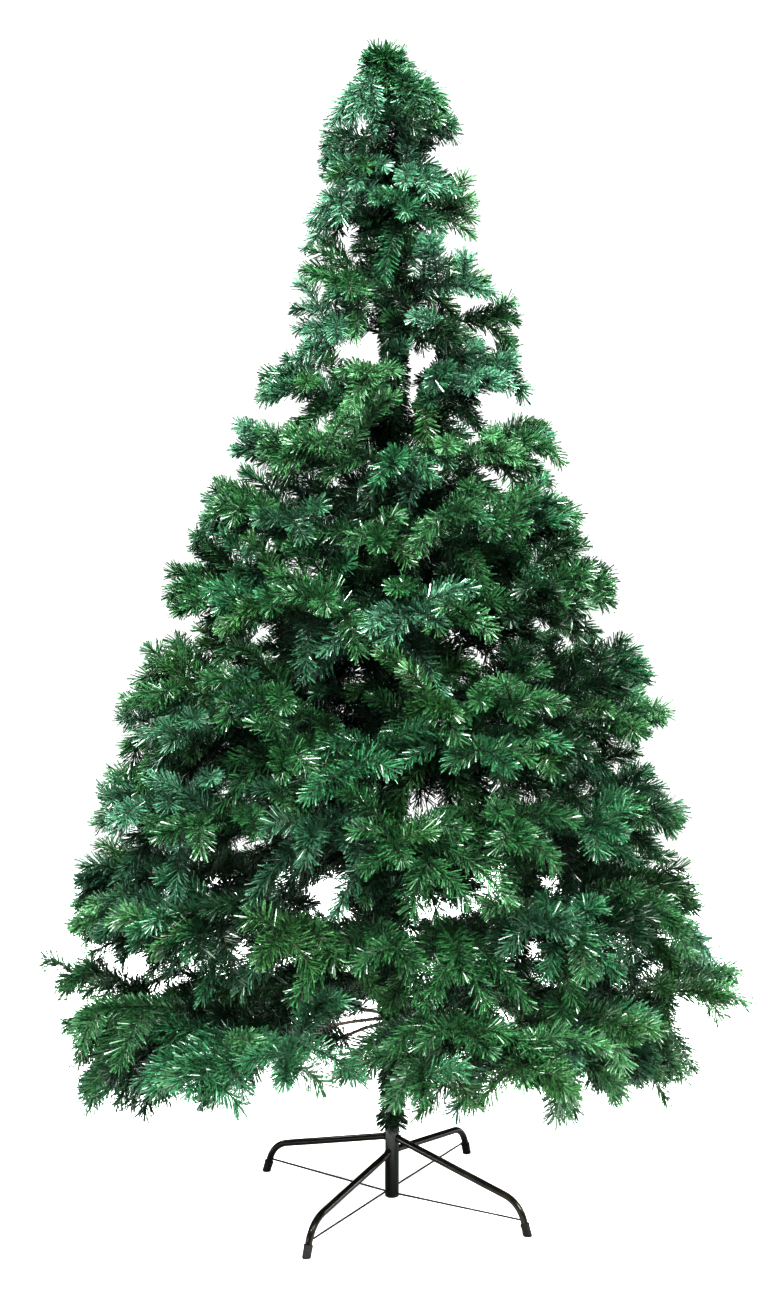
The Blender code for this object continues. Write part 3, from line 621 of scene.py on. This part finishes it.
def plan_mass(level, number):
    """Stem and sprays of one mass.  A spray is its fork on the stem, base, tip, radius and turn."""
    _, count, _, root, bough, length, radius, pitch = TIERS[level]
    azimuth = mass_azimuth(TIERS[level], number)
    half_angle = math.pi / count
    dice = random.Random(SEED + 100 * level + number)
    if bough:
        start = compass(azimuth, bough + CLEAR, middle_height(level, bough, azimuth))
    else:
        pole = POLE_RADIUS if root < POLE_JOINT + 0.08 else UPPER_RADIUS
        start = compass(azimuth, pole + CLEAR, root)
    begin = start.xy.length
    middle = middle_height(level, 0.4, azimuth)
    edge = max(crown_reach(middle + step, azimuth) for step in (-0.07, 0.0, 0.07))
    slope = 0.5 * (floor_slope(level, azimuth) + floor_slope(level + 1, azimuth))
    stem_end = edge - 1.15 * length
    bend = begin + STEM_BEND * (stem_end - begin)
    stem = [start, compass(azimuth, begin + LEVEL_END, start.z),
            compass(azimuth, bend, middle_height(level, bend, azimuth)),
            compass(azimuth, stem_end, middle_height(level, stem_end, azimuth))]
    sprays = []
    shell = 0
    reach = edge
    while reach - length > INNER_LIMIT:
        inside = reach - 0.5 * length
        thick = floor_height(level + 1, inside, azimuth) - floor_height(level, inside, azimuth)
        spread = thick / math.hypot(1.0, slope) - 2.0 * (radius + 0.002)
        rows = 1 + max(0, int(spread / (ROW_PITCH * radius)))
        for row in range(rows):
            fan = max(1, round(2.0 * half_angle * (reach - 0.4 * length) / pitch) - (row + shell) % 2)
            for step in range(fan):
                aside = half_angle * (2.0 * step + 1.0 - fan + dice.uniform(-0.15, 0.15)) / fan
                rise = spread * (row / (rows - 1.0) - 0.5) if rows > 1 else 0.0
                wander = dice.uniform(-0.10, 0.10)
                shrink = dice.uniform(LEAST_REACH, 1.0) if fan > 1 else 1.0
                back = dice.uniform(0.0, 0.25)
                spin = dice.uniform(0.0, math.tau)
                for _ in range(TRIES):
                    height = middle_height(level, reach, azimuth + aside) + rise
                    rim = crown_reach(height, azimuth + aside)
                    distance = min(reach * shrink * rim / edge, rim - 0.002)
                    tip = compass(azimuth + aside, distance, height)
                    aslant = abs(distance * math.sin(aside)) + 0.5 * abs(rise)
                    leave = distance * math.cos(aside) - (0.95 + back) * length - 0.55 * aslant
                    leave = min(max(leave, begin + 0.010 + 0.006 * len(sprays)), stem_end - 0.006)
                    fork = on_stem(stem, leave)
                    outward = compass(azimuth + aside, 1.0, slope + rise + wander).normalized()
                    line = (tip - fork).normalized().lerp(outward, 0.45).normalized()
                    base = tip - line * length
                    spray = (fork, base, tip, radius, spin)
                    if spray_fits(spray, level, azimuth, half_angle) and apart(spray, sprays):
                        sprays.append(spray)
                        break
                    aside = 0.94 * aside + dice.uniform(-0.05, 0.05)
                    rise = 0.90 * rise + dice.uniform(-0.3, 0.3) * radius
        shell += 1
        reach -= SHELL_STEP * length
    return stem, sprays


def plan_top():
    """The leader's top: whorls of short sprays, the last one hanging over like an umbrella."""
    dice = random.Random(SEED + 100 * len(TIERS))
    stem = [Vector((lean, 0.0, height)) for lean, height in LEADER_PATH[1:]]
    stem[0].z += CLEAR
    apex = Vector((stem[-1].x, 0.0, HEIGHT))
    sprays = [(stem[-2], stem[-2].lerp(stem[-1], 0.5), apex, 0.7 * TOP_SPRAY_RADIUS, 0.0)]
    for whorl, (root, fan, rise) in enumerate(TOP_WHORLS):
        fork = stem[0]
        for low, high in zip(stem, stem[1:]):
            if low.z <= root <= high.z:
                fork = low.lerp(high, (root - low.z) / (high.z - low.z))
        for step in range(fan):
            turn = math.tau * (step + 0.5 * (whorl % 2) + dice.uniform(-0.08, 0.08)) / fan
            spin = dice.uniform(0.0, math.tau)
            rim = crown_reach(root + rise, turn) * dice.uniform(0.92, 1.0)
            tip = compass(turn, rim, root + rise)
            length = min(TOP_SPRAY_LENGTH, 0.85 * (tip - fork).length)
            base = tip + (fork - tip).normalized() * length
            sprays.append((fork, base, tip, TOP_SPRAY_RADIUS, spin))
    return stem, sprays


masses = {}
for level, tier in enumerate(TIERS):
    for number in range(tier[1]):
        masses["needles_%s%d" % (tier[0], number + 1)] = (level, number, *plan_mass(level, number))
masses["needles_top"] = (len(TIERS), 0, *plan_top())

# ------------ sprigs
# Every spray divides into finer sprigs: a leading one to the spray's tip and shorter ones set
# alternately down its sides, each a twisted pair of wires that grips film needles.
SIDE_PITCH = 0.022
SIDE_ANGLE = (16.0, 52.0)
SIDE_ROLL = (0.0, 60.0)
# sprigs in front are fanned out sideways by hand, to hide the pole
FRONT_FAN = 24.0
FRONT_BEND = 0.55
SIDE_DROOP = 0.44
ARCH = 0.26
BRUSH_REACH = 0.58
INNER_SPRIGS = 7
SPRIG_SEED = 7000
SPRIG_TURN = 2.4
# shares of a line that stay bare: stem, leading sprig, side sprig, short sprig
STEM_BARE, LEAD_BARE, SIDE_BARE, SHORT_BARE = 0.22, 0.25, 0.10, 0.05
STEM_BRUSH = 0.028
# a side sprig is grown at least so long, and left out where less of it is inside the crown
LEAST_GROWN, LEAST_KEPT = 0.060, 0.035
LEADER_SPRIGS = 32
LEADER_SPRIG_TOP = 1.625
CAP_SPRIGS = 13
CAP_HEIGHT = 1.772
LOBE_COUNT = 13.0
LOBE_TURN = 3.25
LOBE_LIFT = 0.050
PARTING_FROM = 0.26
PARTING_HEIGHT = 0.322
PARTING_HALF = 0.046
# habit of each tier from the lowest up: how far it mingles with the next ones, and how far its
# leading and its side sprigs sag
HABITS = (
    (0.012, (0.00, 0.34), (0.4, 1.6)), (0.016, (0.00, 0.30), (0.2, 1.4)),
    (0.024, (-0.06, 0.26), (-0.3, 1.2)), (0.028, (-0.06, 0.26), (-0.4, 1.2)),
    *[(0.034, (-0.14, 0.28), (-0.9, 1.5))] * 5,
)
# hollows in the crown's edge: height, half its height, side (right is 1) and depth
NOTCHES = ((1.300, 0.100, 1.0, 0.050), (0.740, 0.065, 1.0, 0.070), (0.715, 0.040, -1.0, 0.050))
# lots dealt at random; the darkest lot is also painted shade inside the crown, the palest painted light at
# the top
TINT_WEIGHTS = {"deep": 4.0, "blue": 0.8, "leaf": 1.6, "fresh": 1.6, "shade": 1.2, "sea": 1.2,
                "frost": 0.2}
UP = Vector((0.0, 0.0, 1.0))


def bent(start, control, end, steps=5):
    """Points of a smooth bend from start to end, drawn towards a control point."""
    share = np.linspace(0.0, 1.0, steps + 1)[:, None]
    return ((1.0 - share) ** 2 * np.array(start) + 2.0 * share * (1.0 - share) * np.array(control)
            + share ** 2 * np.array(end))


def held_in(point, level):
    """A point drawn back inside the crown's edge and its own tier.

    The lowest tier hangs in lobes all round, and is parted in two towards the right.  The
    upper tiers mingle at their edges."""
    distance = max(point.xy.length, 1e-4)
    turn = math.atan2(point.y, point.x)
    slack = HABITS[level][0]
    low, high = floor_height(level, distance, turn) - slack, CAP_HEIGHT
    if level < len(TIERS):
        high = floor_height(level + 1, distance, turn) + 0.006 + slack
    if level == 0:
        low += 0.012 + LOBE_LIFT * (0.5 + 0.5 * math.cos(LOBE_COUNT * turn + LOBE_TURN))
    height = min(max(point.z, low), high)
    if level == 0 and point.x > PARTING_FROM and abs(height - PARTING_HEIGHT) < PARTING_HALF:
        height = PARTING_HEIGHT + math.copysign(PARTING_HALF, height - PARTING_HEIGHT)
    rim = crown_reach(height, turn) - 0.010
    for notch, half, side, depth in NOTCHES:
        rim -= depth * max(0.0, 1.0 - abs(height - notch) / half) * max(0.0, side * math.cos(turn))
    share = min(1.0, rim / distance)
    return Vector((point.x * share, point.y * share, height))


def tint_of(tip, inner, dice):
    """The lot of a sprig, dealt at random but weighted as painted light and shade: paler high up as painted
    light from above, bluer on the left as painted cool highlight, fresher low in front as painted light, and
    dark inside as painted shade.
    """
    weights = dict(TINT_WEIGHTS)
    # painted light: high up, more of the palest lot, with the blue lot on the left and the sea lot on the
    # right
    if tip.z > 1.2:
        weights["blue" if tip.x < 0.0 else "sea"] += 2.0
        weights["frost"] += 4.0
    # painted cool highlight: more of the blue lot on the left side
    elif tip.x < -0.10:
        weights["blue"] += 1.0
    # painted light: more of the bright fresh lot low in front, most on the left
    if tip.z < 0.55 and tip.y < 0.0:
        weights["fresh"] += 1.6 if tip.x < 0.0 else 0.6
    # painted shade: sprigs inside the crown mostly get the darkest lot
    if inner:
        weights["shade"] += 8.0
    return dice.choices(list(weights), list(weights.values()))[0]


def short_sprig(root, far, arch, reach, step):
    """A short dark sprig of two lots in turn, the darker one painted shade inside the crown."""
    return (bent(root, root.lerp(far, 0.5) + arch * UP, far), reach, SHORT_BARE,
            "shade" if step % 2 else "deep")


def inner_sprigs(level, stem, dice):
    """Short sprigs that fill a mass near the pole, from the first part of its stem, dark as painted shade."""
    for step in range(INNER_SPRIGS if level > 1 else 0):
        root = stem[1].lerp(stem[2], dice.uniform(0.0, 1.0))
        turn = math.atan2(root.y, root.x) + dice.uniform(-1.4, 1.4)
        far = root + compass(turn, dice.uniform(0.040, 0.075), dice.uniform(-0.055, 0.055))
        yield short_sprig(root, held_in(far, level), 0.015, 0.027, step)


def leader_sprigs(stem, dice):
    """Short sprigs that spring from the leader all the way up to its bare end, dark as painted shade."""
    for step in range(LEADER_SPRIGS):
        height = stem[0].z + (LEADER_SPRIG_TOP - stem[0].z) * (step + dice.random()) / LEADER_SPRIGS
        root = Vector((np.interp(height, [spot.z for spot in stem], [spot.x for spot in stem]), 0.0, height))
        far = root + compass(SPRIG_TURN * step, dice.uniform(0.045, 0.070), dice.uniform(-0.005, 0.045))
        yield short_sprig(root, far, 0.012, 0.024, step)


def cap_sprigs(end, dice):
    """Sprigs that spring from the leader's end and hang over all round, like an umbrella."""
    for step in range(CAP_SPRIGS):
        far = end + compass(SPRIG_TURN * step, dice.uniform(0.014, 0.038), dice.uniform(-0.085, -0.020))
        crest = end.lerp(far, 0.5) + dice.uniform(0.050, 0.072) * UP
        yield bent(end - 0.012 * UP, crest, far), 0.024, 0.0, dice.choice(("deep", "sea"))


def sprigs_of(level, number, stem, sprays):
    """All sprigs of a mass as (line, brush radius, share that stays bare, tint)."""
    dice = random.Random(SPRIG_SEED + 100 * level + number)
    if level < len(TIERS):
        line = np.array([tuple(point) for point in smooth_line(stem, 4)])
        # the stem's needles take the darkest lot, as painted shade
        grown = [(line, STEM_BRUSH, STEM_BARE, "shade"), *inner_sprigs(level, stem, dice)]
    else:
        grown = [*leader_sprigs(stem, dice), *cap_sprigs(stem[-1], dice)]
    for fork, base, tip, radius, _ in sprays:
        way = (tip - base).normalized()
        if way.z > 0.9:
            continue
        reach = BRUSH_REACH * radius
        length = (tip - base).length
        flat = way.cross(UP).normalized()
        facing = max(0.0, -way.y)
        end = tip - way * 0.5 * reach + flat * facing * length * dice.uniform(-FRONT_BEND, FRONT_BEND)
        end.z -= length * dice.uniform(*HABITS[level][1])
        end = held_in(end, level)
        outer = tip.xy.length > 0.8 * crown_reach(tip.z, math.atan2(tip.y, tip.x))
        tint = tint_of(tip, not outer, dice)
        lead = bent(fork, base.lerp(tip, 0.45) + ARCH * length * UP, end, 7)
        grown.append((lead, reach, LEAD_BARE, tint))
        sides = max(3, round(length / SIDE_PITCH))
        for side in range(sides):
            at = (side + 1.2 + dice.uniform(-0.3, 0.3)) / (sides + 1.6)
            spot = Vector(lead[int(at * 6.0) + 1])
            angle = math.radians(dice.uniform(*SIDE_ANGLE) + FRONT_FAN * facing)
            roll = math.radians(dice.uniform(*SIDE_ROLL)) * dice.choice((-1.0, 1.0))
            sideways = flat * math.cos(roll) - way.cross(flat) * math.sin(roll)
            sideways *= -1.0 if side % 2 else 1.0
            out = way * math.cos(angle) + sideways * math.sin(angle)
            size = max(LEAST_GROWN, (end - spot).length * dice.uniform(0.85, 1.0) / math.cos(0.6 * angle))
            far = spot + out * min(size, 0.9 * length)
            far.z -= SIDE_DROOP * size * dice.uniform(*HABITS[level][2])
            far = held_in(far, level)
            if (far - spot).length < LEAST_KEPT:
                continue
            control = spot + (far - spot) * 0.5 + ARCH * size * UP
            grown.append((bent(spot, control, far), 0.92 * reach, SIDE_BARE,
                          tint if dice.random() < 0.7 else tint_of(tip, not outer, dice)))
    return grown


sprigs = {name: sprigs_of(*plan) for name, plan in masses.items()}

# ------------ twig wires
# The twisted wires of the sprigs and the branches' thicker stems, dark green-brown between the
# needles.  Each is made as one thin tube that tapers to its tip.
TWIG_RADIUS = 0.0013
STEM_RADIUS = 0.0030
WIRE_GREEN = (0.020, 0.030, 0.012)


def joined_mesh(name, points, corners, sides, material):
    """A mesh from an array of points and the corners of its faces, all with as many sides."""
    starts = np.arange(0, len(corners), sides)
    mesh = bpy.data.meshes.new(name)
    mesh.vertices.add(len(points))
    mesh.vertices.foreach_set("co", np.ascontiguousarray(points, np.float32).ravel())
    mesh.loops.add(len(corners))
    mesh.loops.foreach_set("vertex_index", np.ascontiguousarray(corners, np.int32))
    mesh.polygons.add(len(starts))
    mesh.polygons.foreach_set("loop_start", np.ascontiguousarray(starts, np.int32))
    mesh.update(calc_edges=True)
    mesh.materials.append(material)
    return mesh


def across(line):
    """Unit directions along a line's stretches, with two more square to each."""
    way = np.gradient(line, axis=0)
    way /= np.linalg.norm(way, axis=1)[:, None]
    upright = np.where(np.abs(way[:, 2:]) > 0.9, (1.0, 0.0, 0.0), (0.0, 0.0, 1.0))
    side = np.cross(way, upright)
    side /= np.linalg.norm(side, axis=1)[:, None]
    return way, side, np.cross(side, way)


def wire_rings(lines, sides=3):
    """Points and corners of thin tapered tubes along many lines of points."""
    points, corners, total = [], [], 0
    turn = math.tau * np.arange(sides) / sides
    for line, thick in lines:
        _, side, up = across(line)
        taper = np.linspace(thick, 0.7 * thick, len(line))[:, None, None]
        ring = np.cos(turn)[:, None] * side[:, None] + np.sin(turn)[:, None] * up[:, None]
        points.append((line[:, None] + taper * ring).reshape(-1, 3))
        rows = total + sides * np.arange(len(line) - 1)[:, None]
        here, beside = rows + np.arange(sides), rows + (np.arange(sides) + 1) % sides
        corners.append(np.stack([here, beside, beside + sides, here + sides], axis=-1).ravel())
        total += sides * len(line)
    return np.concatenate(points), np.concatenate(corners)


lines = []
for name, (level, *_) in masses.items():
    for count, (line, *_) in enumerate(sprigs[name]):
        lines.append((line, STEM_RADIUS if count == 0 and level < len(TIERS) else TWIG_RADIUS))
twig_mesh = joined_mesh("twig_wires", *wire_rings(lines), 4,
                        bare_wire("twig_wire_metal", WIRE_GREEN, WIRE_DARK))
twig_mesh.shade_smooth()
seated("twig_wires", twig_mesh, masses)

top = bmesh.new()
leader_line = leader[5:]
swept(top, leader_line, list(np.interp(np.linspace(0.0, 1.0, len(leader_line)),
                                       (0.0, 0.3, 0.75, 1.0), LEADER_RADII[1:])), 10)
finished("leader_wire", top, bare_wire("leader_wire_metal", WIRE_DARK, WIRE_BROWN),
         ["needles_top"])

# ------------ needles
# Strips of thin green film, cut and caught between the twisted wires so that they stand out
# all round and sweep towards the tip.  They are dyed in several lots, a little apart in hue; the
# darkest lot also stands for painted shade inside the crown, and paler lots weighted up high and
# low in front stand for painted light.
NEEDLE_SEED = 9000
NEEDLES_PER_METRE = 2350
NEEDLE_WIDTH = 0.0019
NEEDLE_TWIST = 0.4
BRUSH_FLATNESS = 0.76
NEEDLE_LEAN = (66.0, 56.0, 42.0)
GOLDEN_TURN = math.pi * (3.0 - math.sqrt(5.0))
PIECE_LIMIT = 95000
TINTS = {
    "deep": ((0.004, 0.024, 0.008), (0.032, 0.110, 0.041)),
    "blue": ((0.006, 0.026, 0.013), (0.034, 0.102, 0.056)),
    "leaf": ((0.006, 0.028, 0.008), (0.038, 0.114, 0.038)),
    "fresh": ((0.009, 0.038, 0.014), (0.074, 0.190, 0.084)),
    # darkest lot: painted shade for the inside of the crown, and a few dark sprigs at random
    "shade": ((0.001, 0.008, 0.003), (0.008, 0.034, 0.013)),
    "sea": ((0.005, 0.030, 0.013), (0.036, 0.132, 0.062)),
    # palest lot: painted light for the top of the tree, and a few pale sprigs at random
    "frost": ((0.008, 0.038, 0.022), (0.074, 0.182, 0.112)),
    # garland lot, darker than the branches': partly painted shade under the crown
    "garland": ((0.004, 0.016, 0.006), (0.022, 0.068, 0.030)),
}


def film_needles(line, reach, first, dice, lean_range=NEEDLE_LEAN, hold=0.0,
                 per_metre=NEEDLES_PER_METRE, flatness=BRUSH_FLATNESS):
    """Corners of one sprig's needles, four to a needle: two at its root and two at its cut end."""
    length = np.linalg.norm(np.diff(line, axis=0), axis=1).sum() * (1.0 - first)
    count = max(8, int(per_metre * length))
    share = first + (1.0 - first) * (np.arange(count) + dice.random(count)) / count
    station = share * (len(line) - 1.0)
    index = np.minimum(station.astype(int), len(line) - 2)
    blend = (station - index)[:, None]
    way, side, up = (frame[index] for frame in across(line))
    tilt = dice.normal(0.0, 0.4)
    side, up = math.cos(tilt) * side + math.sin(tilt) * up, math.cos(tilt) * up - math.sin(tilt) * side
    turn = GOLDEN_TURN * np.arange(count) + dice.normal(0.0, 0.5, count)
    radial = np.cos(turn)[:, None] * side + flatness * np.sin(turn)[:, None] * up
    lean = np.interp(share, (first, 0.75, 1.0), lean_range) + dice.normal(0.0, 7.0, count)
    lean = np.radians(np.clip(lean, 5.0, 88.0))[:, None]
    out = np.cos(lean) * way + np.sin(lean) * radial
    size = (reach - hold) / math.sin(math.radians(lean_range[1])) * dice.uniform(0.80, 1.05, count)
    size = (size * np.interp(share, (0.82, 1.0), (1.0, 0.72)))[:, None]
    root = line[index] * (1.0 - blend) + line[index + 1] * blend + hold * radial
    swept_on = out + 0.08 * way + np.array((0.0, 0.0, -0.03)) + dice.normal(0.0, 0.05, (count, 3))
    tip = root + size * swept_on
    flat = np.cross(out, way)
    flat /= np.linalg.norm(flat, axis=1)[:, None] + 1e-9
    edge_on = np.cross(out, flat)
    edge_on /= np.linalg.norm(edge_on, axis=1)[:, None] + 1e-9
    roll = dice.uniform(-1.1, 1.1, count)[:, None]
    twist = roll + dice.normal(0.0, NEEDLE_TWIST, count)[:, None]
    half = 0.5 * NEEDLE_WIDTH * dice.uniform(0.8, 1.15, count)[:, None]
    low = 0.7 * half * (np.cos(roll) * flat + np.sin(roll) * edge_on)
    high = half * (np.cos(twist) * flat + np.sin(twist) * edge_on)
    return np.stack([root - low, root + low, tip + high, tip - high], axis=1)


def needle_piece(name, needles, tint, nodes):
    """One joined piece of needles, each a twisted strip of two faces, in one lot's soft gloss."""
    corners = (4 * np.arange(len(needles))[:, None] + np.array((0, 1, 2, 0, 2, 3))).ravel()
    film = surface(name + "_film", *TINTS[tint], (0.26, 0.38), patch=210.0, grain=700.0, relief=0.04,
                   dust=0.0, specular=0.38)
    mesh = joined_mesh(name, needles.reshape(-1, 3), corners, 3, film)
    seated(name, mesh, nodes)


lots = {tint: [] for tint in TINT_WEIGHTS}
owners = {tint: set() for tint in TINT_WEIGHTS}
for mass, (name, grown) in enumerate(sprigs.items()):
    dice = np.random.default_rng(NEEDLE_SEED + mass)
    for line, reach, first, tint in grown:
        lots[tint].append(film_needles(line, reach, first, dice))
        owners[tint].add(name)
for tint, lot in lots.items():
    needles = np.concatenate(lot)
    parts = math.ceil(len(needles) / PIECE_LIMIT)
    for part in range(parts):
        needle_piece("needles_%s_%d" % (tint, part + 1), needles[part::parts], tint,
                     sorted(owners[tint]))

# ------------ pole garland
# A strip of short needles wound up the pole, which hides the tube between the branches
# and ends in a ragged tuft over the stand's socket.  Its lot is darker than the branches', which
# also stands for painted shade under the crown.
GARLAND_FOOT = 0.128
GARLAND_TOP = 1.330
GARLAND_REACH = 0.0260
GARLAND_LEAN = (70.0, 66.0, 58.0)
GARLAND_PER_METRE = 11000
GARLAND_SEED = 9900
WOUND_TOP = 1.650


def wound_on(line, radius):
    """Needles of the strip, wound round a line on something of this radius."""
    return film_needles(line, GARLAND_REACH, 0.0, dice, GARLAND_LEAN, radius, GARLAND_PER_METRE, 1.0)


dice = np.random.default_rng(GARLAND_SEED)
stretches = []
for low, high, radius in ((GARLAND_FOOT, 0.150, TUBE_RADIUS), (0.145, POLE_JOINT, POLE_RADIUS),
                          (POLE_JOINT, GARLAND_TOP, UPPER_RADIUS)):
    heights = np.linspace(high, low, 12)
    line = np.stack([0.0 * heights, 0.0 * heights, heights], axis=1)
    stretches.append(wound_on(line, radius))
needle_piece("pole_garland_needles", np.concatenate(stretches), "garland", ["pole_garland"])

wound = np.array([tuple(point) for point in reversed(leader) if GARLAND_TOP < point.z < WOUND_TOP])
needle_piece("leader_garland_needles", wound_on(wound, LEADER_RADII[1]), "garland", ["needles_top"])

# ------------ floor, light and camera
# A plain pale studio floor in an even white surround, with soft lights in front, above, behind
# and, for the stand, low at both sides.  The surround itself gives the tree only a dim light.
FLOOR_RADIUS = 2.4
FLOOR_GLOW = 0.70
SURROUND_GLOW = 0.030
SURROUND_SEEN = 1.05
WHITE = (1.0, 1.0, 1.0, 1.0)
# lights: name, place, height on the axis that it is aimed at, size, power
LIGHTS = (
    ("key_light", (-1.2, -3.1, 3.8), 0.9, 0.9, 840.0),
    ("side_light", (2.3, -2.8, 2.8), 0.8, 0.9, 380.0),
    ("top_light", (0.0, -0.5, 4.2), 0.0, 1.4, 400.0),
    ("back_light", (1.2, 3.4, 2.8), 0.9, 1.6, 240.0),
    ("rim_light", (-2.6, 2.4, 2.6), 0.9, 1.4, 190.0),
    ("low_left_light", (-2.9, -2.2, 0.95), 0.1, 0.5, 32.0),
    ("low_right_light", (3.0, 0.6, 0.95), 0.1, 0.5, 32.0),
)
CAMERA_PLACE = (-0.0141, -3.0238, 1.2720)
CAMERA_TILT = 0.1258
CAMERA_ROLL = 0.0017
CAMERA_LENS = 54.7

floor_form = bmesh.new()
bmesh.ops.create_circle(floor_form, cap_ends=True, segments=96, radius=FLOOR_RADIUS)
floor_mesh = bpy.data.meshes.new("studio_floor")
floor_form.to_mesh(floor_mesh)
floor_form.free()
paper = surface("studio_floor_paper", (0.86, 0.86, 0.86), (0.89, 0.89, 0.89), (0.7, 0.8),
                patch=3.0, dust=0.0)
tree = paper.node_tree
seen = add_node(tree, "LightPath", {})
glow = add_node(tree, "Math", {0: seen.outputs["Is Camera Ray"], 1: FLOOR_GLOW},
                operation="MULTIPLY")
feed(tree.nodes["Principled BSDF"], {"Emission Strength": glow.outputs["Value"]})
floor_mesh.materials.append(paper)
floor = placed("studio_floor", floor_mesh)

world = bpy.data.worlds.new("white_surround")
world.use_nodes = True
tree = world.node_tree
dim = tree.nodes["Background"]
feed(dim, {"Color": WHITE, "Strength": SURROUND_GLOW})
white = add_node(tree, "Background", {"Color": WHITE, "Strength": SURROUND_SEEN})
rays = add_node(tree, "LightPath", {})
chosen = add_node(tree, "MixShader",
                  {0: rays.outputs["Is Camera Ray"], 1: dim.outputs[0], 2: white.outputs[0]})
feed(tree.nodes["World Output"], {0: chosen.outputs[0]})
scene = bpy.context.scene
scene.world = world
scene.view_settings.view_transform = "Standard"
scene.view_settings.exposure = 0.25
scene.view_settings.gamma = 0.765

for name, place, aim, size, power in LIGHTS:
    light = bpy.data.lights.new(name, "AREA")
    light.size = size
    light.energy = power
    lamp = placed(name, light)
    lamp.location = place
    lamp.rotation_euler = (aim * UP - Vector(place)).to_track_quat("-Z", "Y").to_euler()

lens = bpy.data.cameras.new("camera")
lens.lens = CAMERA_LENS
lens.sensor_width = 36.0
camera = placed("camera", lens)
camera.matrix_world = (Matrix.Translation(CAMERA_PLACE)
                       @ Matrix.Rotation(0.5 * math.pi - CAMERA_TILT, 4, "X")
                       @ Matrix.Rotation(CAMERA_ROLL, 4, "Z"))
scene.camera = camera
